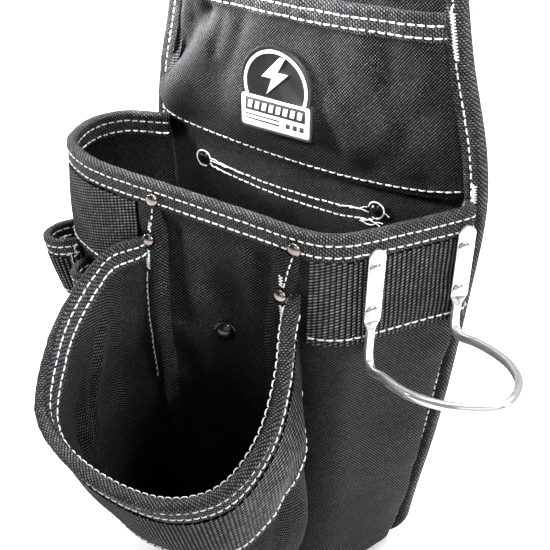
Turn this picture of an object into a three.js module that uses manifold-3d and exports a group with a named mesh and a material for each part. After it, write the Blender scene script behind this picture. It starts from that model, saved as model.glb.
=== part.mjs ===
// An electrician's tool pouch that hangs on a work belt: a curved back panel, a flat pocket on its
// upper half, a deep main pocket, a scooped front pocket, two narrow tool sleeves and a wire hammer
// loop. Millimetres, +Z up; the pouch faces -Y and the wearer is on the +Y side. Inside this file
// heights are measured from the main pocket's rim; the exported group moves the origin to the middle
// of the belt tunnel.
import * as THREE from 'three';
import { mergeVertices } from 'three/addons/utils/BufferGeometryUtils.js';
import Module from 'manifold-3d';

const wasm = await Module();
wasm.setup();

// ---- driving dimensions ----------------------------------------------------------------------
const GAP = 0.3; // clearance between neighbouring pieces

const PANEL = { x: 3, top: 170, bottom: -282, corner: 26, bow: 7, edge: 122.5 };
// half-width of the back panel's outline at a few heights, from the bottom to the top
const PANEL_SIDE = [[84, -282], [91, -236], [103, -170], [115, -72], [120.5, -5], [116.5, 32], [104, 83],
  [97, 122], [91, 170]];
const COVER = 1.1; // each cloth cover of the back panel
const BOARD = 2; // the stiffener between the covers
const TAPE = 1.2; // binding tape
const PANEL_LIP = 9; // how far the edge binding reaches over the panel

const CLOTH = 2.4; // pocket walls: two plies of heavy nylon
const WEBBING = 1.8;
const MAIN = { depth: 268, floor: 2.5, rimLip: 14, taper: 1.6 };
// plan of the main pocket at the rim and at its base, from the left end round the front to the right
const RIM_PLAN = [[-117, 0.8], [-140, -17], [-148, -41], [-136, -68], [-110, -82], [-84, -86], [-40, -86],
  [20, -86], [60, -86], [78, -79], [90, -64], [119, -13], [122.5, 0.8]];
const BASE_PLAN = [[-83, -2.6], [-93, -15], [-96, -30], [-90, -52], [-78, -66], [-58, -73], [-30, -74],
  [15, -74], [42, -73], [60, -66], [72, -50], [88, -14], [89, -2.6]];
const BAND = { top: 14.4, bottom: 68 }; // the 2-inch webbing round the main pocket, below its rim

const UPPER = { mouth: 107, bottom: -7, bulge: 13, side: 10.6, hem: 13.5 };
const BADGE = { x: -6, z: 50, r: 26, barW: 54, barH: 24, barZ: 32, thick: 2.4 };

const TUNNEL = { x: -8, z: 29, width: 160, passage: 78, lip: 18, plateY: 13.5, strap: 2 };

// the front pocket's mouth lies in a plane that falls away from the main pocket's front wall
const MOUTH_PLAN = [[-60, -90], [-80, -95], [-93, -115], [-96, -140], [-84, -166], [-50, -177.5],
  [-10, -181], [30, -176], [59, -162], [71, -138], [67, -112], [51, -90]];
const MOUTH = { slope: 1.2, z: 63, rise: -12.6 };
const FRONT = { bottom: -264, rootY: -77.1, narrow: 0.62, lip: 15, bandTop: 15.6, bandBottom: 54 };

const TABS = [
  { side: 'left', from: -60, to: -43, upper: [-48, -9], lower: [-52, -37] },
  { side: 'right', from: 40, to: 58, upper: [55, -9.5], lower: [47, -42] },
];
const SLEEVES = [
  { name: 'rear', at: 2.75, half: 0.55, top: 70, bottom: 158, out: 37, outEnd: 9 },
  { name: 'front', at: 3.88, half: 0.42, top: 80, bottom: 178, out: 19, outEnd: 7 },
];
const SLEEVE = { cloth: 1.8, lip: 10, band: 40 };

const LOOP = { wire: 2.9, tabW: 11, tabL: 49, tabT: 2.4, top: 11, rivets: [9, 38], frontX: 90, rearX: 119 };
// half of the wire's run from a tab to the tip: across, down, out from the wall
const LOOP_LEG = [[0, 46, 0], [0, 56, 0], [0, 63.5, 1.2], [0.6, 67, 6]];
const LOOP_BOW = [[2, 20], [3.5, 38], [1, 58], [-9, 78]]; // across from the leg, along the bow
const LOOP_REACH = 91;
const LOOP_TILT = 0.2; // the bow rises as it leaves the wall

const DOME = { capR: 4.4, capH: 3, shankR: 1.7, flangeR: 4, flangeH: 1 };
const FLAT = { capR: 4, capH: 1.1, shankR: 1.7, flangeR: 4.4, flangeH: 1 };
const SNAP = { capR: 6.2, capH: 4, shankR: 2, flangeR: 5.5, flangeH: 1.2 };

// ---- materials -------------------------------------------------------------------------------
const material = (color, roughness, metalness = 0) =>
  new THREE.MeshStandardMaterial({ color, roughness, metalness });
const NYLON = material(0x1d1f22, 0.85);
const LINING = material(0x17181a, 0.9);
const BOARDING = material(0x3a3a3a, 0.8);
const GROSGRAIN = material(0x2a2c2f, 0.75);
const RIBBED = material(0x232528, 0.7);
const RUBBER = material(0x111213, 0.5);
const PRINT = material(0xe8e8e6, 0.5);
const CHROME = material(0xd8dadc, 0.12, 1);
const NICKEL = material(0x9a8f86, 0.3, 1);
const BLACK_METAL = material(0x1a1a1b, 0.35, 0.8);

// ---- solids ----------------------------------------------------------------------------------
const pouch = new THREE.Group();

function add(name, geometry, look) {
  const mesh = new THREE.Mesh(geometry, look);
  mesh.name = name;
  pouch.add(mesh);
  return mesh;
}

// six times the signed volume that the triangles enclose
function signedVolume(points, triangles) {
  let sum = 0;
  for (const [i, j, k] of triangles) {
    sum += points[i].dot(new THREE.Vector3().crossVectors(points[j], points[k]));
  }
  return sum;
}

function solid(points, triangles) {
  const outward = signedVolume(points, triangles) > 0;
  const geometry = new THREE.BufferGeometry();
  geometry.setAttribute('position', new THREE.Float32BufferAttribute(points.flatMap((p) => p.toArray()), 3));
  geometry.setIndex(triangles.flatMap(([i, j, k]) => (outward ? [i, j, k] : [i, k, j])));
  return geometry;
}

// joins rings of equal length into one closed body; an open run of rings gets its two ends capped
function loft(rings, cap, closed = false, capFaces = null) {
  const count = rings[0].length;
  const points = rings.flat();
  const triangles = [];
  const spans = closed ? rings.length : rings.length - 1;
  for (let r = 0; r < spans; r += 1) {
    const next = (r + 1) % rings.length;
    for (let i = 0; i < count; i += 1) {
      const j = (i + 1) % count;
      triangles.push([r * count + i, next * count + i, next * count + j]);
      triangles.push([r * count + i, next * count + j, r * count + j]);
    }
  }
  if (!closed) {
    const outline = cap.map(([a, b]) => new THREE.Vector2(a, b));
    const faces = capFaces ?? THREE.ShapeUtils.triangulateShape(outline, []);
    const last = (rings.length - 1) * count;
    const flip = THREE.ShapeUtils.area(outline) < 0;
    for (const [a, b, c] of faces) {
      const face = flip ? [a, c, b] : [a, b, c];
      triangles.push([face[0], face[1], face[2]]);
      triangles.push([last + face[0], last + face[2], last + face[1]]);
    }
    repairCaps(triangles, faces.length);
  }
  return solid(points, triangles);
}

// turns the cap triangles so that every edge is used once in each direction
function repairCaps(triangles, capCount) {
  const side = triangles.slice(0, triangles.length - 2 * capCount);
  const used = new Set(side.flatMap(([a, b, c]) => [`${a}>${b}`, `${b}>${c}`, `${c}>${a}`]));
  const caps = triangles.slice(-2 * capCount);
  const edges = caps.flatMap(([a, b, c]) => [`${a}>${b}`, `${b}>${c}`, `${c}>${a}`]);
  const clash = edges.some((edge) => used.has(edge));
  if (clash) {
    for (const cap of caps) {
      cap.reverse();
    }
  }
}

const STEP = 1e-3;

// outward unit normal of a cloth surface given as position(u, a), a being the way down from its top edge
function normalAt(surface, u, a) {
  const alongU = surface(u + STEP, a).sub(surface(u - STEP, a));
  const down = surface(u, a + STEP).sub(surface(u, a - STEP));
  return down.cross(alongU).normalize();
}

const offset = (surface, u, a, s) => surface(u, a).addScaledVector(normalAt(surface, u, a), s);

// a length of tape or cloth lying on a surface: its cross-section [a, s] is carried along u
function strip(surface, section, us, closed = false) {
  const rings = us.map((u) => section.map(([a, s]) => offset(surface, u, a, s)));
  return loft(rings, section, closed);
}

// cross-section of a plain ply between two offsets, with rows where the surface bends
function ply(rows, inner, outer) {
  return [...rows.map((a) => [a, outer]), ...[...rows].reverse().map((a) => [a, inner])];
}

// cross-section of a tape folded over a cloth edge at a = 0; the cloth lies between -cloth and 0
function fold(lip, cloth) {
  const outer = GAP + TAPE;
  const inner = -cloth - GAP - TAPE;
  return [[lip, outer], [-outer, outer], [-outer, inner], [lip, inner], [lip, inner + TAPE],
    [-GAP, inner + TAPE], [-GAP, GAP], [lip, GAP]];
}

function steps(from, to, count) {
  return Array.from({ length: count + 1 }, (_, i) => from + ((to - from) * i) / count);
}

function toManifold(geometry) {
  const bare = geometry.clone();
  bare.deleteAttribute('normal');
  bare.deleteAttribute('uv');
  const merged = mergeVertices(bare, 1e-4);
  return new wasm.Manifold(new wasm.Mesh({
    numProp: 3,
    vertProperties: new Float32Array(merged.attributes.position.array),
    triVerts: new Uint32Array(merged.index.array),
  }));
}

function fromManifold(body) {
  const mesh = body.getMesh();
  const geometry = new THREE.BufferGeometry();
  geometry.setAttribute('position', new THREE.BufferAttribute(new Float32Array(mesh.vertProperties), 3));
  geometry.setIndex(new THREE.BufferAttribute(new Uint32Array(mesh.triVerts), 1));
  return geometry;
}

function drill(mesh, holes) {
  let body = toManifold(mesh.geometry);
  for (const hole of holes) {
    body = body.subtract(toManifold(hole));
  }
  mesh.geometry = fromManifold(body);
}

// places a geometry whose own axis is +Y so that it points along axis from origin
function aim(geometry, origin, axis) {
  const turn = new THREE.Quaternion().setFromUnitVectors(new THREE.Vector3(0, 1, 0), axis);
  return geometry.applyQuaternion(turn).translate(origin.x, origin.y, origin.z);
}

// ---- fasteners -------------------------------------------------------------------------------
const DOME_STEPS = 2;
const ROUND = 10; // sides of a rivet

// a rivet with its cap's underside at y = 0 and a flange clenched at the far side of the stack
function rivetGeometry(kind, stack) {
  const dome = steps(0, Math.PI / 2, DOME_STEPS).map((t) =>
    new THREE.Vector2(kind.capR * Math.sin(t), kind.capH * (0.25 + 0.75 * Math.cos(t))));
  dome[0].x = 0;
  const rest = [[kind.capR, 0], [kind.shankR, 0], [kind.shankR, -stack], [kind.flangeR, -stack],
    [kind.flangeR, -stack - kind.flangeH], [0, -stack - kind.flangeH]];
  const profile = [...dome, ...rest.map(([r, y]) => new THREE.Vector2(r, y))];
  const turned = new THREE.LatheGeometry(profile.reverse(), ROUND);
  return turned;
}

function rivet(name, kind, stack, origin, axis, look, pierced) {
  add(name, aim(rivetGeometry(kind, stack), origin, axis), look);
  const reach = 40;
  for (const mesh of pierced) {
    const hole = new THREE.CylinderGeometry(kind.shankR + GAP, kind.shankR + GAP, reach, 8);
    drill(mesh, [aim(hole, origin, axis)]);
  }
}

// ---- back panel ------------------------------------------------------------------------------
const bow = (x) => PANEL.bow * ((x - PANEL.x) / PANEL.edge) ** 2; // the panel's edges curl back round the hip
const panelSide = new THREE.CatmullRomCurve3(PANEL_SIDE.map(([x, z]) => new THREE.Vector3(x, 0, z)));

// half-width of the panel at height z, before its corners are rounded
function halfWidth(z) {
  let low = 0;
  let high = 1;
  for (let i = 0; i < 24; i += 1) {
    const middle = (low + high) / 2;
    if (panelSide.getPoint(middle).z < z) {
      low = middle;
    } else {
      high = middle;
    }
  }
  return panelSide.getPoint(low).x;
}

// how much a corner of radius r takes off the half-width at a distance from the panel's end
const cornerCut = (distance, r) => (distance < r ? r - Math.sqrt(r * r - (r - distance) ** 2) : 0);

// half-width of the outline at height z, for a ply that stops short of the panel's edge by inset
function outlineHalf(z, inset) {
  const r = PANEL.corner - inset;
  const cuts = cornerCut(PANEL.top - inset - z, r) + cornerCut(z - PANEL.bottom - inset, r);
  return halfWidth(z) - inset - cuts;
}

const CORNER_TURNS = [0, 0.06, 0.22, 0.5, 1]; // distances from the end of the panel, in corner radii
const PANEL_COLUMNS = 6; // flat facets across the panel's bow

// heights at which the panel's outline is drawn, from the bottom to the top
function panelHeights(inset) {
  const low = PANEL.bottom + inset;
  const high = PANEL.top - inset;
  const corner = CORNER_TURNS.map((t) => t * (PANEL.corner - inset));
  const middle = steps(low + corner.at(-1), high - corner.at(-1), 9).slice(1, -1);
  return [...corner.map((d) => low + d), ...middle, ...corner.map((d) => high - d).reverse()];
}

// cap triangles of a thin sheet whose outline runs out along one face and back along the other
function sheetCap(columns) {
  const faces = [];
  for (let i = 0; i < columns; i += 1) {
    const back = 2 * columns + 1 - i;
    faces.push([i, i + 1, back - 1], [i, back - 1, back]);
  }
  return faces;
}

function panelPly(name, inset, front, rear, look) {
  const across = steps(-1, 1, PANEL_COLUMNS);
  const cap = [...across.map((t) => [t, front]), ...[...across].reverse().map((t) => [t, rear])];
  const rings = panelHeights(inset).map((z) => {
    const half = outlineHalf(z, inset);
    return cap.map(([t, y]) => new THREE.Vector3(PANEL.x + t * half, bow(PANEL.x + t * half) + y, z));
  });
  return add(name, loft(rings, cap, false, sheetCap(PANEL_COLUMNS)), look);
}

const coverFront = BOARD / 2 + GAP + COVER;
const panelFront = -coverFront; // y of the panel's front face at its middle
const frontCover = panelPly('panel_front_cover', 1, -coverFront, -BOARD / 2 - GAP, NYLON);
const stiffener = panelPly('panel_stiffener', 11, -BOARD / 2, BOARD / 2, BOARDING);
const rearCover = panelPly('panel_rear_cover', 1, BOARD / 2 + GAP, coverFront, NYLON);

// the outline as a closed loop of points, turning from the bottom right corner up and over
function panelOutline() {
  const heights = panelHeights(0);
  const right = heights.map((z) => new THREE.Vector2(outlineHalf(z, 0), z));
  const top = steps(1, -1, PANEL_COLUMNS).slice(1, -1)
    .map((t) => new THREE.Vector2(t * right.at(-1).x, PANEL.top));
  const left = [...right].reverse().map((p) => new THREE.Vector2(-p.x, p.y));
  const bottom = steps(-1, 1, PANEL_COLUMNS).slice(1, -1)
    .map((t) => new THREE.Vector2(t * right[0].x, PANEL.bottom));
  return [...right, ...top, ...left, ...bottom];
}

const outline = panelOutline();
const lipFace = coverFront + GAP + TAPE; // how far the binding's faces stand from the panel's middle
const bindingSection = [[PANEL_LIP, -lipFace], [-TAPE, -lipFace], [-TAPE, lipFace], [PANEL_LIP, lipFace],
  [PANEL_LIP, lipFace - TAPE], [1 - GAP - 0.2, lipFace - TAPE], [1 - GAP - 0.2, TAPE - lipFace],
  [PANEL_LIP, TAPE - lipFace]];
const bindingRings = outline.map((p, i) => {
  const before = outline.at(i - 1);
  const after = outline[(i + 1) % outline.length];
  const run = after.clone().sub(before).normalize();
  return bindingSection.map(([inward, y]) => {
    const x = PANEL.x + p.x - run.y * inward;
    return new THREE.Vector3(x, bow(x) + y, p.y + run.x * inward);
  });
});
add('panel_edge_binding', loft(bindingRings, bindingSection, true), GROSGRAIN);

// ---- upper pocket: one ply that stands away from the panel and is open at the top ------------
function upperPocket(u, a) {
  const z = UPPER.mouth - a;
  const x = PANEL.x + u * (halfWidth(z) - UPPER.side);
  const up = THREE.MathUtils.clamp((z - UPPER.bottom) / 46, 0, 1);
  const puff = UPPER.bulge * (1 - u * u) ** 0.7 * Math.sin((up * Math.PI) / 2);
  return new THREE.Vector3(x, bow(x) + panelFront - GAP - CLOTH - 0.2 - puff, z);
}

const upperDepth = UPPER.mouth - UPPER.bottom;
const upperUs = steps(-0.995, 0.995, 20);
add('upper_pocket', strip(upperPocket, ply(steps(0, upperDepth, 7), -CLOTH, 0), upperUs), NYLON);
const hemUs = upperUs.slice(1, -1);
add('upper_pocket_hem', strip(upperPocket, fold(UPPER.hem, CLOTH), hemUs), GROSGRAIN);

// ---- badge on the upper pocket ---------------------------------------------------------------
const badgeGap = 0.5;
const badgeY = upperPocket(0, UPPER.mouth - BADGE.z).y - badgeGap;

function roundedBar(width, height, radius, centreZ) {
  const shape = new THREE.Shape();
  const w = width / 2;
  const low = centreZ - height / 2;
  const high = centreZ + height / 2;
  shape.absarc(w - radius, low + radius, radius, -Math.PI / 2, 0);
  shape.absarc(w - radius, high - radius, radius, 0, Math.PI / 2);
  shape.absarc(-w + radius, high - radius, radius, Math.PI / 2, Math.PI);
  shape.absarc(-w + radius, low + radius, radius, Math.PI, 1.5 * Math.PI);
  return shape;
}

// a plate cut from a shape drawn in x and z, its face on the -Y side
function plate(shape, thickness, y) {
  const body = new THREE.ExtrudeGeometry(shape, { depth: thickness, bevelEnabled: false, curveSegments: 7 });
  return body.rotateX(Math.PI / 2).translate(BADGE.x, y, 0);
}

const disc = new THREE.Shape();
disc.absarc(0, BADGE.z, BADGE.r, 0, 2 * Math.PI);
const barShape = roundedBar(BADGE.barW, BADGE.barH, 3, BADGE.barZ);
const badgeBody = toManifold(plate(disc, BADGE.thick, badgeY))
  .add(toManifold(plate(barShape, BADGE.thick, badgeY)));
add('badge_base', fromManifold(badgeBody), RUBBER);

const emblemY = badgeY - BADGE.thick - GAP;
const ring = new THREE.Shape();
ring.absarc(0, BADGE.z, BADGE.r - 3, 0, 2 * Math.PI);
const ringHole = new THREE.Path();
ringHole.absarc(0, BADGE.z, BADGE.r - 4.6, 0, 2 * Math.PI);
ring.holes.push(ringHole);
const emblemBar = roundedBar(BADGE.barW - 5, BADGE.barH - 13, 1.5, BADGE.barZ);
const emblem = toManifold(plate(ring, 0.8, emblemY)).add(toManifold(plate(emblemBar, 0.8, emblemY)));
add('badge_emblem', fromManifold(emblem), PRINT);

// ---- main pocket -----------------------------------------------------------------------------
const planCurve = (plan) =>
  new THREE.CatmullRomCurve3(plan.map(([x, y]) => new THREE.Vector3(x, y, 0)), false, 'catmullrom', 0.5);
const rimCurve = planCurve(RIM_PLAN);
const baseCurve = planCurve(BASE_PLAN);
const PLAN_SPANS = RIM_PLAN.length - 1;

function mainWall(u, a) {
  const narrowing = (Math.max(a, 0) / MAIN.depth) ** MAIN.taper;
  const p = rimCurve.getPoint(u).lerp(baseCurve.getPoint(u), narrowing);
  p.z = -a;
  return p;
}

// the place along the main pocket's wall where it crosses x, searched on its front and right side
function wallAt(x, a) {
  let low = 0.3;
  let high = 1;
  for (let i = 0; i < 24; i += 1) {
    const middle = (low + high) / 2;
    if (mainWall(middle, a).x < x) {
      low = middle;
    } else {
      high = middle;
    }
  }
  return low;
}

const END = 0.004; // the wall stops this short of its plan's ends, clear of the numeric normals
const wallUs = steps(END, 1 - END, 3 * PLAN_SPANS);
const wallRows = [0, BAND.top, 41, BAND.bottom, 110, 155, 205, MAIN.depth];
const mainPocket = add('main_pocket_wall', strip(mainWall, ply(wallRows, -CLOTH, 0), wallUs), NYLON);
const rimUs = steps(0.008, 0.992, 3 * PLAN_SPANS);
const rimBinding = add('main_rim_binding', strip(mainWall, fold(MAIN.rimLip, CLOTH), rimUs), GROSGRAIN);

const floorEdge = steps(0.012, 0.988, 2 * PLAN_SPANS)
  .map((u) => offset(mainWall, u, MAIN.depth, -CLOTH - 0.9));
const floorShape = new THREE.Shape(floorEdge.map((p) => new THREE.Vector2(p.x, p.y)));
const floorPlate = new THREE.ExtrudeGeometry(floorShape, { depth: MAIN.floor, bevelEnabled: false });
add('main_pocket_floor', floorPlate.translate(0, 0, -MAIN.depth), LINING);

const bandSection = ply([BAND.top, 41, BAND.bottom], GAP, GAP + WEBBING);
const leftEnd = wallAt(-63, 41);
const rightStart = wallAt(61, 41);
add('webbing_band_left', strip(mainWall, bandSection, steps(0.01, leftEnd, 18)), RIBBED);
const rightUs = steps(rightStart, 0.99, 14);
const rightBand = add('webbing_band_right', strip(mainWall, bandSection, rightUs), RIBBED);

// ---- corner tabs that carry the front pocket, each with an upper and a lower rivet -----------
const tabRows = [BAND.top, 41, BAND.bottom - 2];
const taped = 2 * GAP + TAPE; // the binding tape's outer face from the pocket wall
for (const tab of TABS) {
  const us = steps(wallAt(tab.from, 41), wallAt(tab.to, 41), 4);
  const cloth = add(`corner_tab_${tab.side}`, strip(mainWall, ply(tabRows, GAP, GAP + CLOTH), us), NYLON);
  const rows = [
    { name: 'upper', at: tab.upper, cap: taped, back: CLOTH + taped, pierced: [rimBinding] },
    { name: 'lower', at: tab.lower, cap: 2 * GAP + CLOTH, back: CLOTH + GAP, pierced: [cloth] },
  ];
  for (const row of rows) {
    const [x, z] = row.at;
    const u = wallAt(x, -z);
    const seat = row.cap + 0.1;
    const stack = seat + row.back + 0.1;
    const origin = offset(mainWall, u, -z, seat);
    const axis = normalAt(mainWall, u, -z);
    rivet(`rivet_${row.name}_${tab.side}`, DOME, stack, origin, axis, NICKEL, [mainPocket, ...row.pierced]);
  }
}

const snapU = wallAt(-1, 88);
rivet('front_snap_rivet', SNAP, CLOTH + 3 * GAP, offset(mainWall, snapU, 88, GAP + 0.1),
  normalAt(mainWall, snapU, 88), BLACK_METAL, [mainPocket]);

// ---- front pocket: a scoop hung on the main pocket's front wall ------------------------------
const mouthCurve = new THREE.CatmullRomCurve3(MOUTH_PLAN.map(([x, y]) =>
  new THREE.Vector3(x, y, MOUTH.rise + MOUTH.slope * (y + MOUTH.z))), false, 'catmullrom', 0.5);

// the scoop's wall: v = 0 at the mouth, 1 where it is sewn to the main pocket near the base
function frontWall(u, v) {
  const mouth = mouthCurve.getPoint(u);
  const seam = new THREE.Vector3(mouth.x * FRONT.narrow, FRONT.rootY, FRONT.bottom);
  const belly = new THREE.Vector3(
    seam.x + 0.6 * (mouth.x - seam.x),
    seam.y + 0.6 * (mouth.y - seam.y),
    seam.z + 0.04 * (mouth.z - seam.z),
  );
  const breast = new THREE.Vector3(
    mouth.x * 1.12 + 4 * Math.sin(Math.PI * u),
    mouth.y + 0.1 * (seam.y - mouth.y),
    mouth.z + 0.42 * (seam.z - mouth.z),
  );
  return new THREE.CubicBezierCurve3(mouth, breast, belly, seam).getPoint(v);
}

// the same wall measured in millimetres down from its mouth
function frontRim(u, a) {
  const length = frontWall(u, STEP).distanceTo(frontWall(u, 0)) / STEP;
  return frontWall(u, a / length);
}

const frontUs = steps(0.004, 0.996, 33);
add('front_pocket_wall', strip(frontWall, ply(steps(0, 0.985, 8), -CLOTH, 0), frontUs), NYLON);
add('front_rim_binding', strip(frontRim, fold(FRONT.lip, CLOTH + 0.5), frontUs), GROSGRAIN);
const frontBand = ply(steps(FRONT.bandTop, FRONT.bandBottom, 2), 2 * GAP, 2 * GAP + WEBBING);
add('front_webbing_band', strip(frontRim, frontBand, frontUs.slice(1, -1)), RIBBED);

// ---- tool sleeves on the left of the main pocket ---------------------------------------------
for (const sleeve of SLEEVES) {
  const depth = sleeve.bottom - sleeve.top;
  const tube = (t, a) => {
    const u = (sleeve.at - sleeve.half * Math.cos(Math.PI * t)) / PLAN_SPANS;
    const down = THREE.MathUtils.clamp(a / depth, 0, 1);
    const out = sleeve.out + (sleeve.outEnd - sleeve.out) * down ** 1.5;
    return offset(mainWall, u, sleeve.top + a, 0.8 + out * Math.sin(Math.PI * t));
  };
  const ts = steps(0.004, 0.996, 14);
  const rows = [0, SLEEVE.lip + 0.6, SLEEVE.band, 0.72 * depth, depth];
  const name = `tool_sleeve_${sleeve.name}`;
  add(name, strip(tube, ply(rows, -SLEEVE.cloth, 0), ts), NYLON);
  add(`${name}_binding`, strip(tube, fold(SLEEVE.lip, SLEEVE.cloth), ts.slice(1, -1)), GROSGRAIN);
  const collar = ply(rows.slice(1, 3), GAP, GAP + WEBBING);
  add(`${name}_webbing`, strip(tube, collar, ts.slice(1, -1)), RIBBED);
}

// ---- hammer loop: one bent wire with flattened, drilled ends on the right side ---------------
const frontLeg = wallAt(LOOP.frontX, LOOP.top);
const rearLeg = wallAt(LOOP.rearX, LOOP.top);
const legTop = (u) => offset(mainWall, u, LOOP.top, 0);
const legEnd = (u) => offset(mainWall, u, LOOP.top + LOOP.tabL, 0);
const down = legEnd(frontLeg).sub(legTop(frontLeg)).add(legEnd(rearLeg)).sub(legTop(rearLeg)).normalize();
const across = legTop(rearLeg).sub(legTop(frontLeg));
const spacing = across.length();
const outward = new THREE.Vector3().crossVectors(down, across).normalize();
const forward = new THREE.Vector3().crossVectors(down, outward).normalize();
const wireOff = GAP + WEBBING + 1 + LOOP.wire; // from the pocket wall to the wire's centre
const loopOrigin = legTop(frontLeg).lerp(legTop(rearLeg), 0.5).addScaledVector(outward, wireOff);
const loopFrame = new THREE.Matrix4().makeBasis(forward, down, outward).setPosition(loopOrigin);

function loopPath() {
  const half = spacing / 2;
  const leg = LOOP_LEG.map(([s, d, o]) => new THREE.Vector3(half + s, d, o));
  const bend = LOOP_LEG.at(-1)[1];
  const bowPoint = (s, w) => new THREE.Vector3(s, bend - w * Math.sin(LOOP_TILT), w * Math.cos(LOOP_TILT));
  const bowSide = LOOP_BOW.map(([s, w]) => bowPoint(half + s, w));
  const rear = [...leg, ...bowSide];
  const front = [...rear].reverse().map((p) => new THREE.Vector3(-p.x, p.y, p.z));
  return new THREE.CatmullRomCurve3([...rear, bowPoint(0, LOOP_REACH), ...front]);
}

const wireSection = new THREE.Shape();
wireSection.absarc(0, 0, LOOP.wire, 0, 2 * Math.PI);
const wire = new THREE.ExtrudeGeometry(wireSection, { steps: 44, extrudePath: loopPath(), curveSegments: 4 });
const eyelet = new THREE.Shape();
const eyeletR = LOOP.tabW / 2;
eyelet.absarc(0, eyeletR, eyeletR, Math.PI, 2 * Math.PI);
eyelet.absarc(0, LOOP.tabL - eyeletR, eyeletR, 0, Math.PI);
let loopBody = toManifold(wire);
for (const end of [-1, 1]) {
  const flat = new THREE.ExtrudeGeometry(eyelet, { depth: LOOP.tabT, bevelEnabled: false, curveSegments: 4 });
  flat.translate((end * spacing) / 2, 0, -LOOP.wire + 0.02);
  loopBody = loopBody.add(toManifold(flat));
}
const hammerLoop = add('hammer_loop', fromManifold(loopBody).applyMatrix4(loopFrame), CHROME);

const seatOut = -LOOP.wire + LOOP.tabT + 0.02 + GAP;
const loopStack = LOOP.tabT + GAP + wireOff - LOOP.wire + CLOTH + 4 * GAP;
for (const [leg, sign] of [['front', 1], ['rear', -1]]) {
  LOOP.rivets.forEach((along, i) => {
    const origin = new THREE.Vector3((sign * spacing) / 2, along, seatOut).applyMatrix4(loopFrame);
    rivet(`hammer_loop_rivet_${leg}_${i + 1}`, FLAT, loopStack, origin, outward, CHROME,
      [hammerLoop, rightBand, mainPocket]);
  });
}

// ---- belt tunnel on the back: a wide strap sewn down above and below the belt ----------------
const tunnelLow = TUNNEL.z - TUNNEL.passage / 2;
const tunnelHigh = TUNNEL.z + TUNNEL.passage / 2;
const lipIn = coverFront + GAP;
const lipOut = lipIn + TUNNEL.strap;
const plateOut = TUNNEL.plateY + TUNNEL.strap;
const tunnelSection = [[lipIn, tunnelLow - TUNNEL.lip], [lipIn, tunnelLow], [TUNNEL.plateY, tunnelLow + 9],
  [TUNNEL.plateY, tunnelHigh - 9], [lipIn, tunnelHigh], [lipIn, tunnelHigh + TUNNEL.lip],
  [lipOut, tunnelHigh + TUNNEL.lip], [lipOut, tunnelHigh + 1], [plateOut, tunnelHigh - 8],
  [plateOut, tunnelLow + 8], [lipOut, tunnelLow - 1], [lipOut, tunnelLow - TUNNEL.lip]];
const tunnelRings = steps(-0.5, 0.5, 8).map((t) => {
  const x = TUNNEL.x + t * TUNNEL.width;
  // the lips follow the curved panel, the plate between them is flat
  return tunnelSection.map(([y, z]) => new THREE.Vector3(x, y > lipOut ? y : y + bow(x), z));
});
const tunnel = add('belt_tunnel_strap', loft(tunnelRings, tunnelSection), NYLON);

const tunnelStack = 2 * coverFront + 2 * GAP + TUNNEL.strap + 1.4;
for (const [name, x, z] of [['left', -79, -23], ['right', 57, -21.5]]) {
  const origin = new THREE.Vector3(x, bow(x) + panelFront - GAP - 0.4, z);
  rivet(`tunnel_rivet_${name}`, DOME, tunnelStack, origin, new THREE.Vector3(0, -1, 0), BLACK_METAL,
    [frontCover, stiffener, rearCover, tunnel]);
}

// the origin is the middle of the belt tunnel
pouch.position.set(-TUNNEL.x, -(lipIn + TUNNEL.plateY) / 2, -TUNNEL.z);

export default pouch;
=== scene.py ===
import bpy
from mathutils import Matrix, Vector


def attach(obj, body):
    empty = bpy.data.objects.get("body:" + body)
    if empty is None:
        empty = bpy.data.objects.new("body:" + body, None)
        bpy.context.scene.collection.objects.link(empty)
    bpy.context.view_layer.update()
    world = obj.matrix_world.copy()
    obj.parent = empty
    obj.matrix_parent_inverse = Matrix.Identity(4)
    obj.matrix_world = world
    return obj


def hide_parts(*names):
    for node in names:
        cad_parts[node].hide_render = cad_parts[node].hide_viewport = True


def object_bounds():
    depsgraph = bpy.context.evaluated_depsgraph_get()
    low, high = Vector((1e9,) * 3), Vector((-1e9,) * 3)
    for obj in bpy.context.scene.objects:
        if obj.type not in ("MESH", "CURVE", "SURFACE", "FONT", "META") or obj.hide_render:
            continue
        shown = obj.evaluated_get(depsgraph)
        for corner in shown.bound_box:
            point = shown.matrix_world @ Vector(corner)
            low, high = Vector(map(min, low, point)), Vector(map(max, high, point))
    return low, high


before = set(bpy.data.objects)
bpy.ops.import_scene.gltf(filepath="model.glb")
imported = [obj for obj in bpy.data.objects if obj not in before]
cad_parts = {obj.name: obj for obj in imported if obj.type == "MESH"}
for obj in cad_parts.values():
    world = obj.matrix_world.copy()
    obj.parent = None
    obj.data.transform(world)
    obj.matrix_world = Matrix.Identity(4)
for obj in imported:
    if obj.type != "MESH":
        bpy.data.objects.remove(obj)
CAD_BOX = [list(corner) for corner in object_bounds()]

import math

import bpy
import numpy as np
from mathutils import Vector

# An electrician's belt pouch: a stiffened nylon panel, pockets with bound rims, webbing, rivets and a
# wire hammer loop. Lengths are in millimetres, measured from the main pocket's rim, until publish()
# turns them into the frame's metres.
RIM = np.array([8.0, -8.1, -29.0])  # the main pocket's rim in the frame

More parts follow.
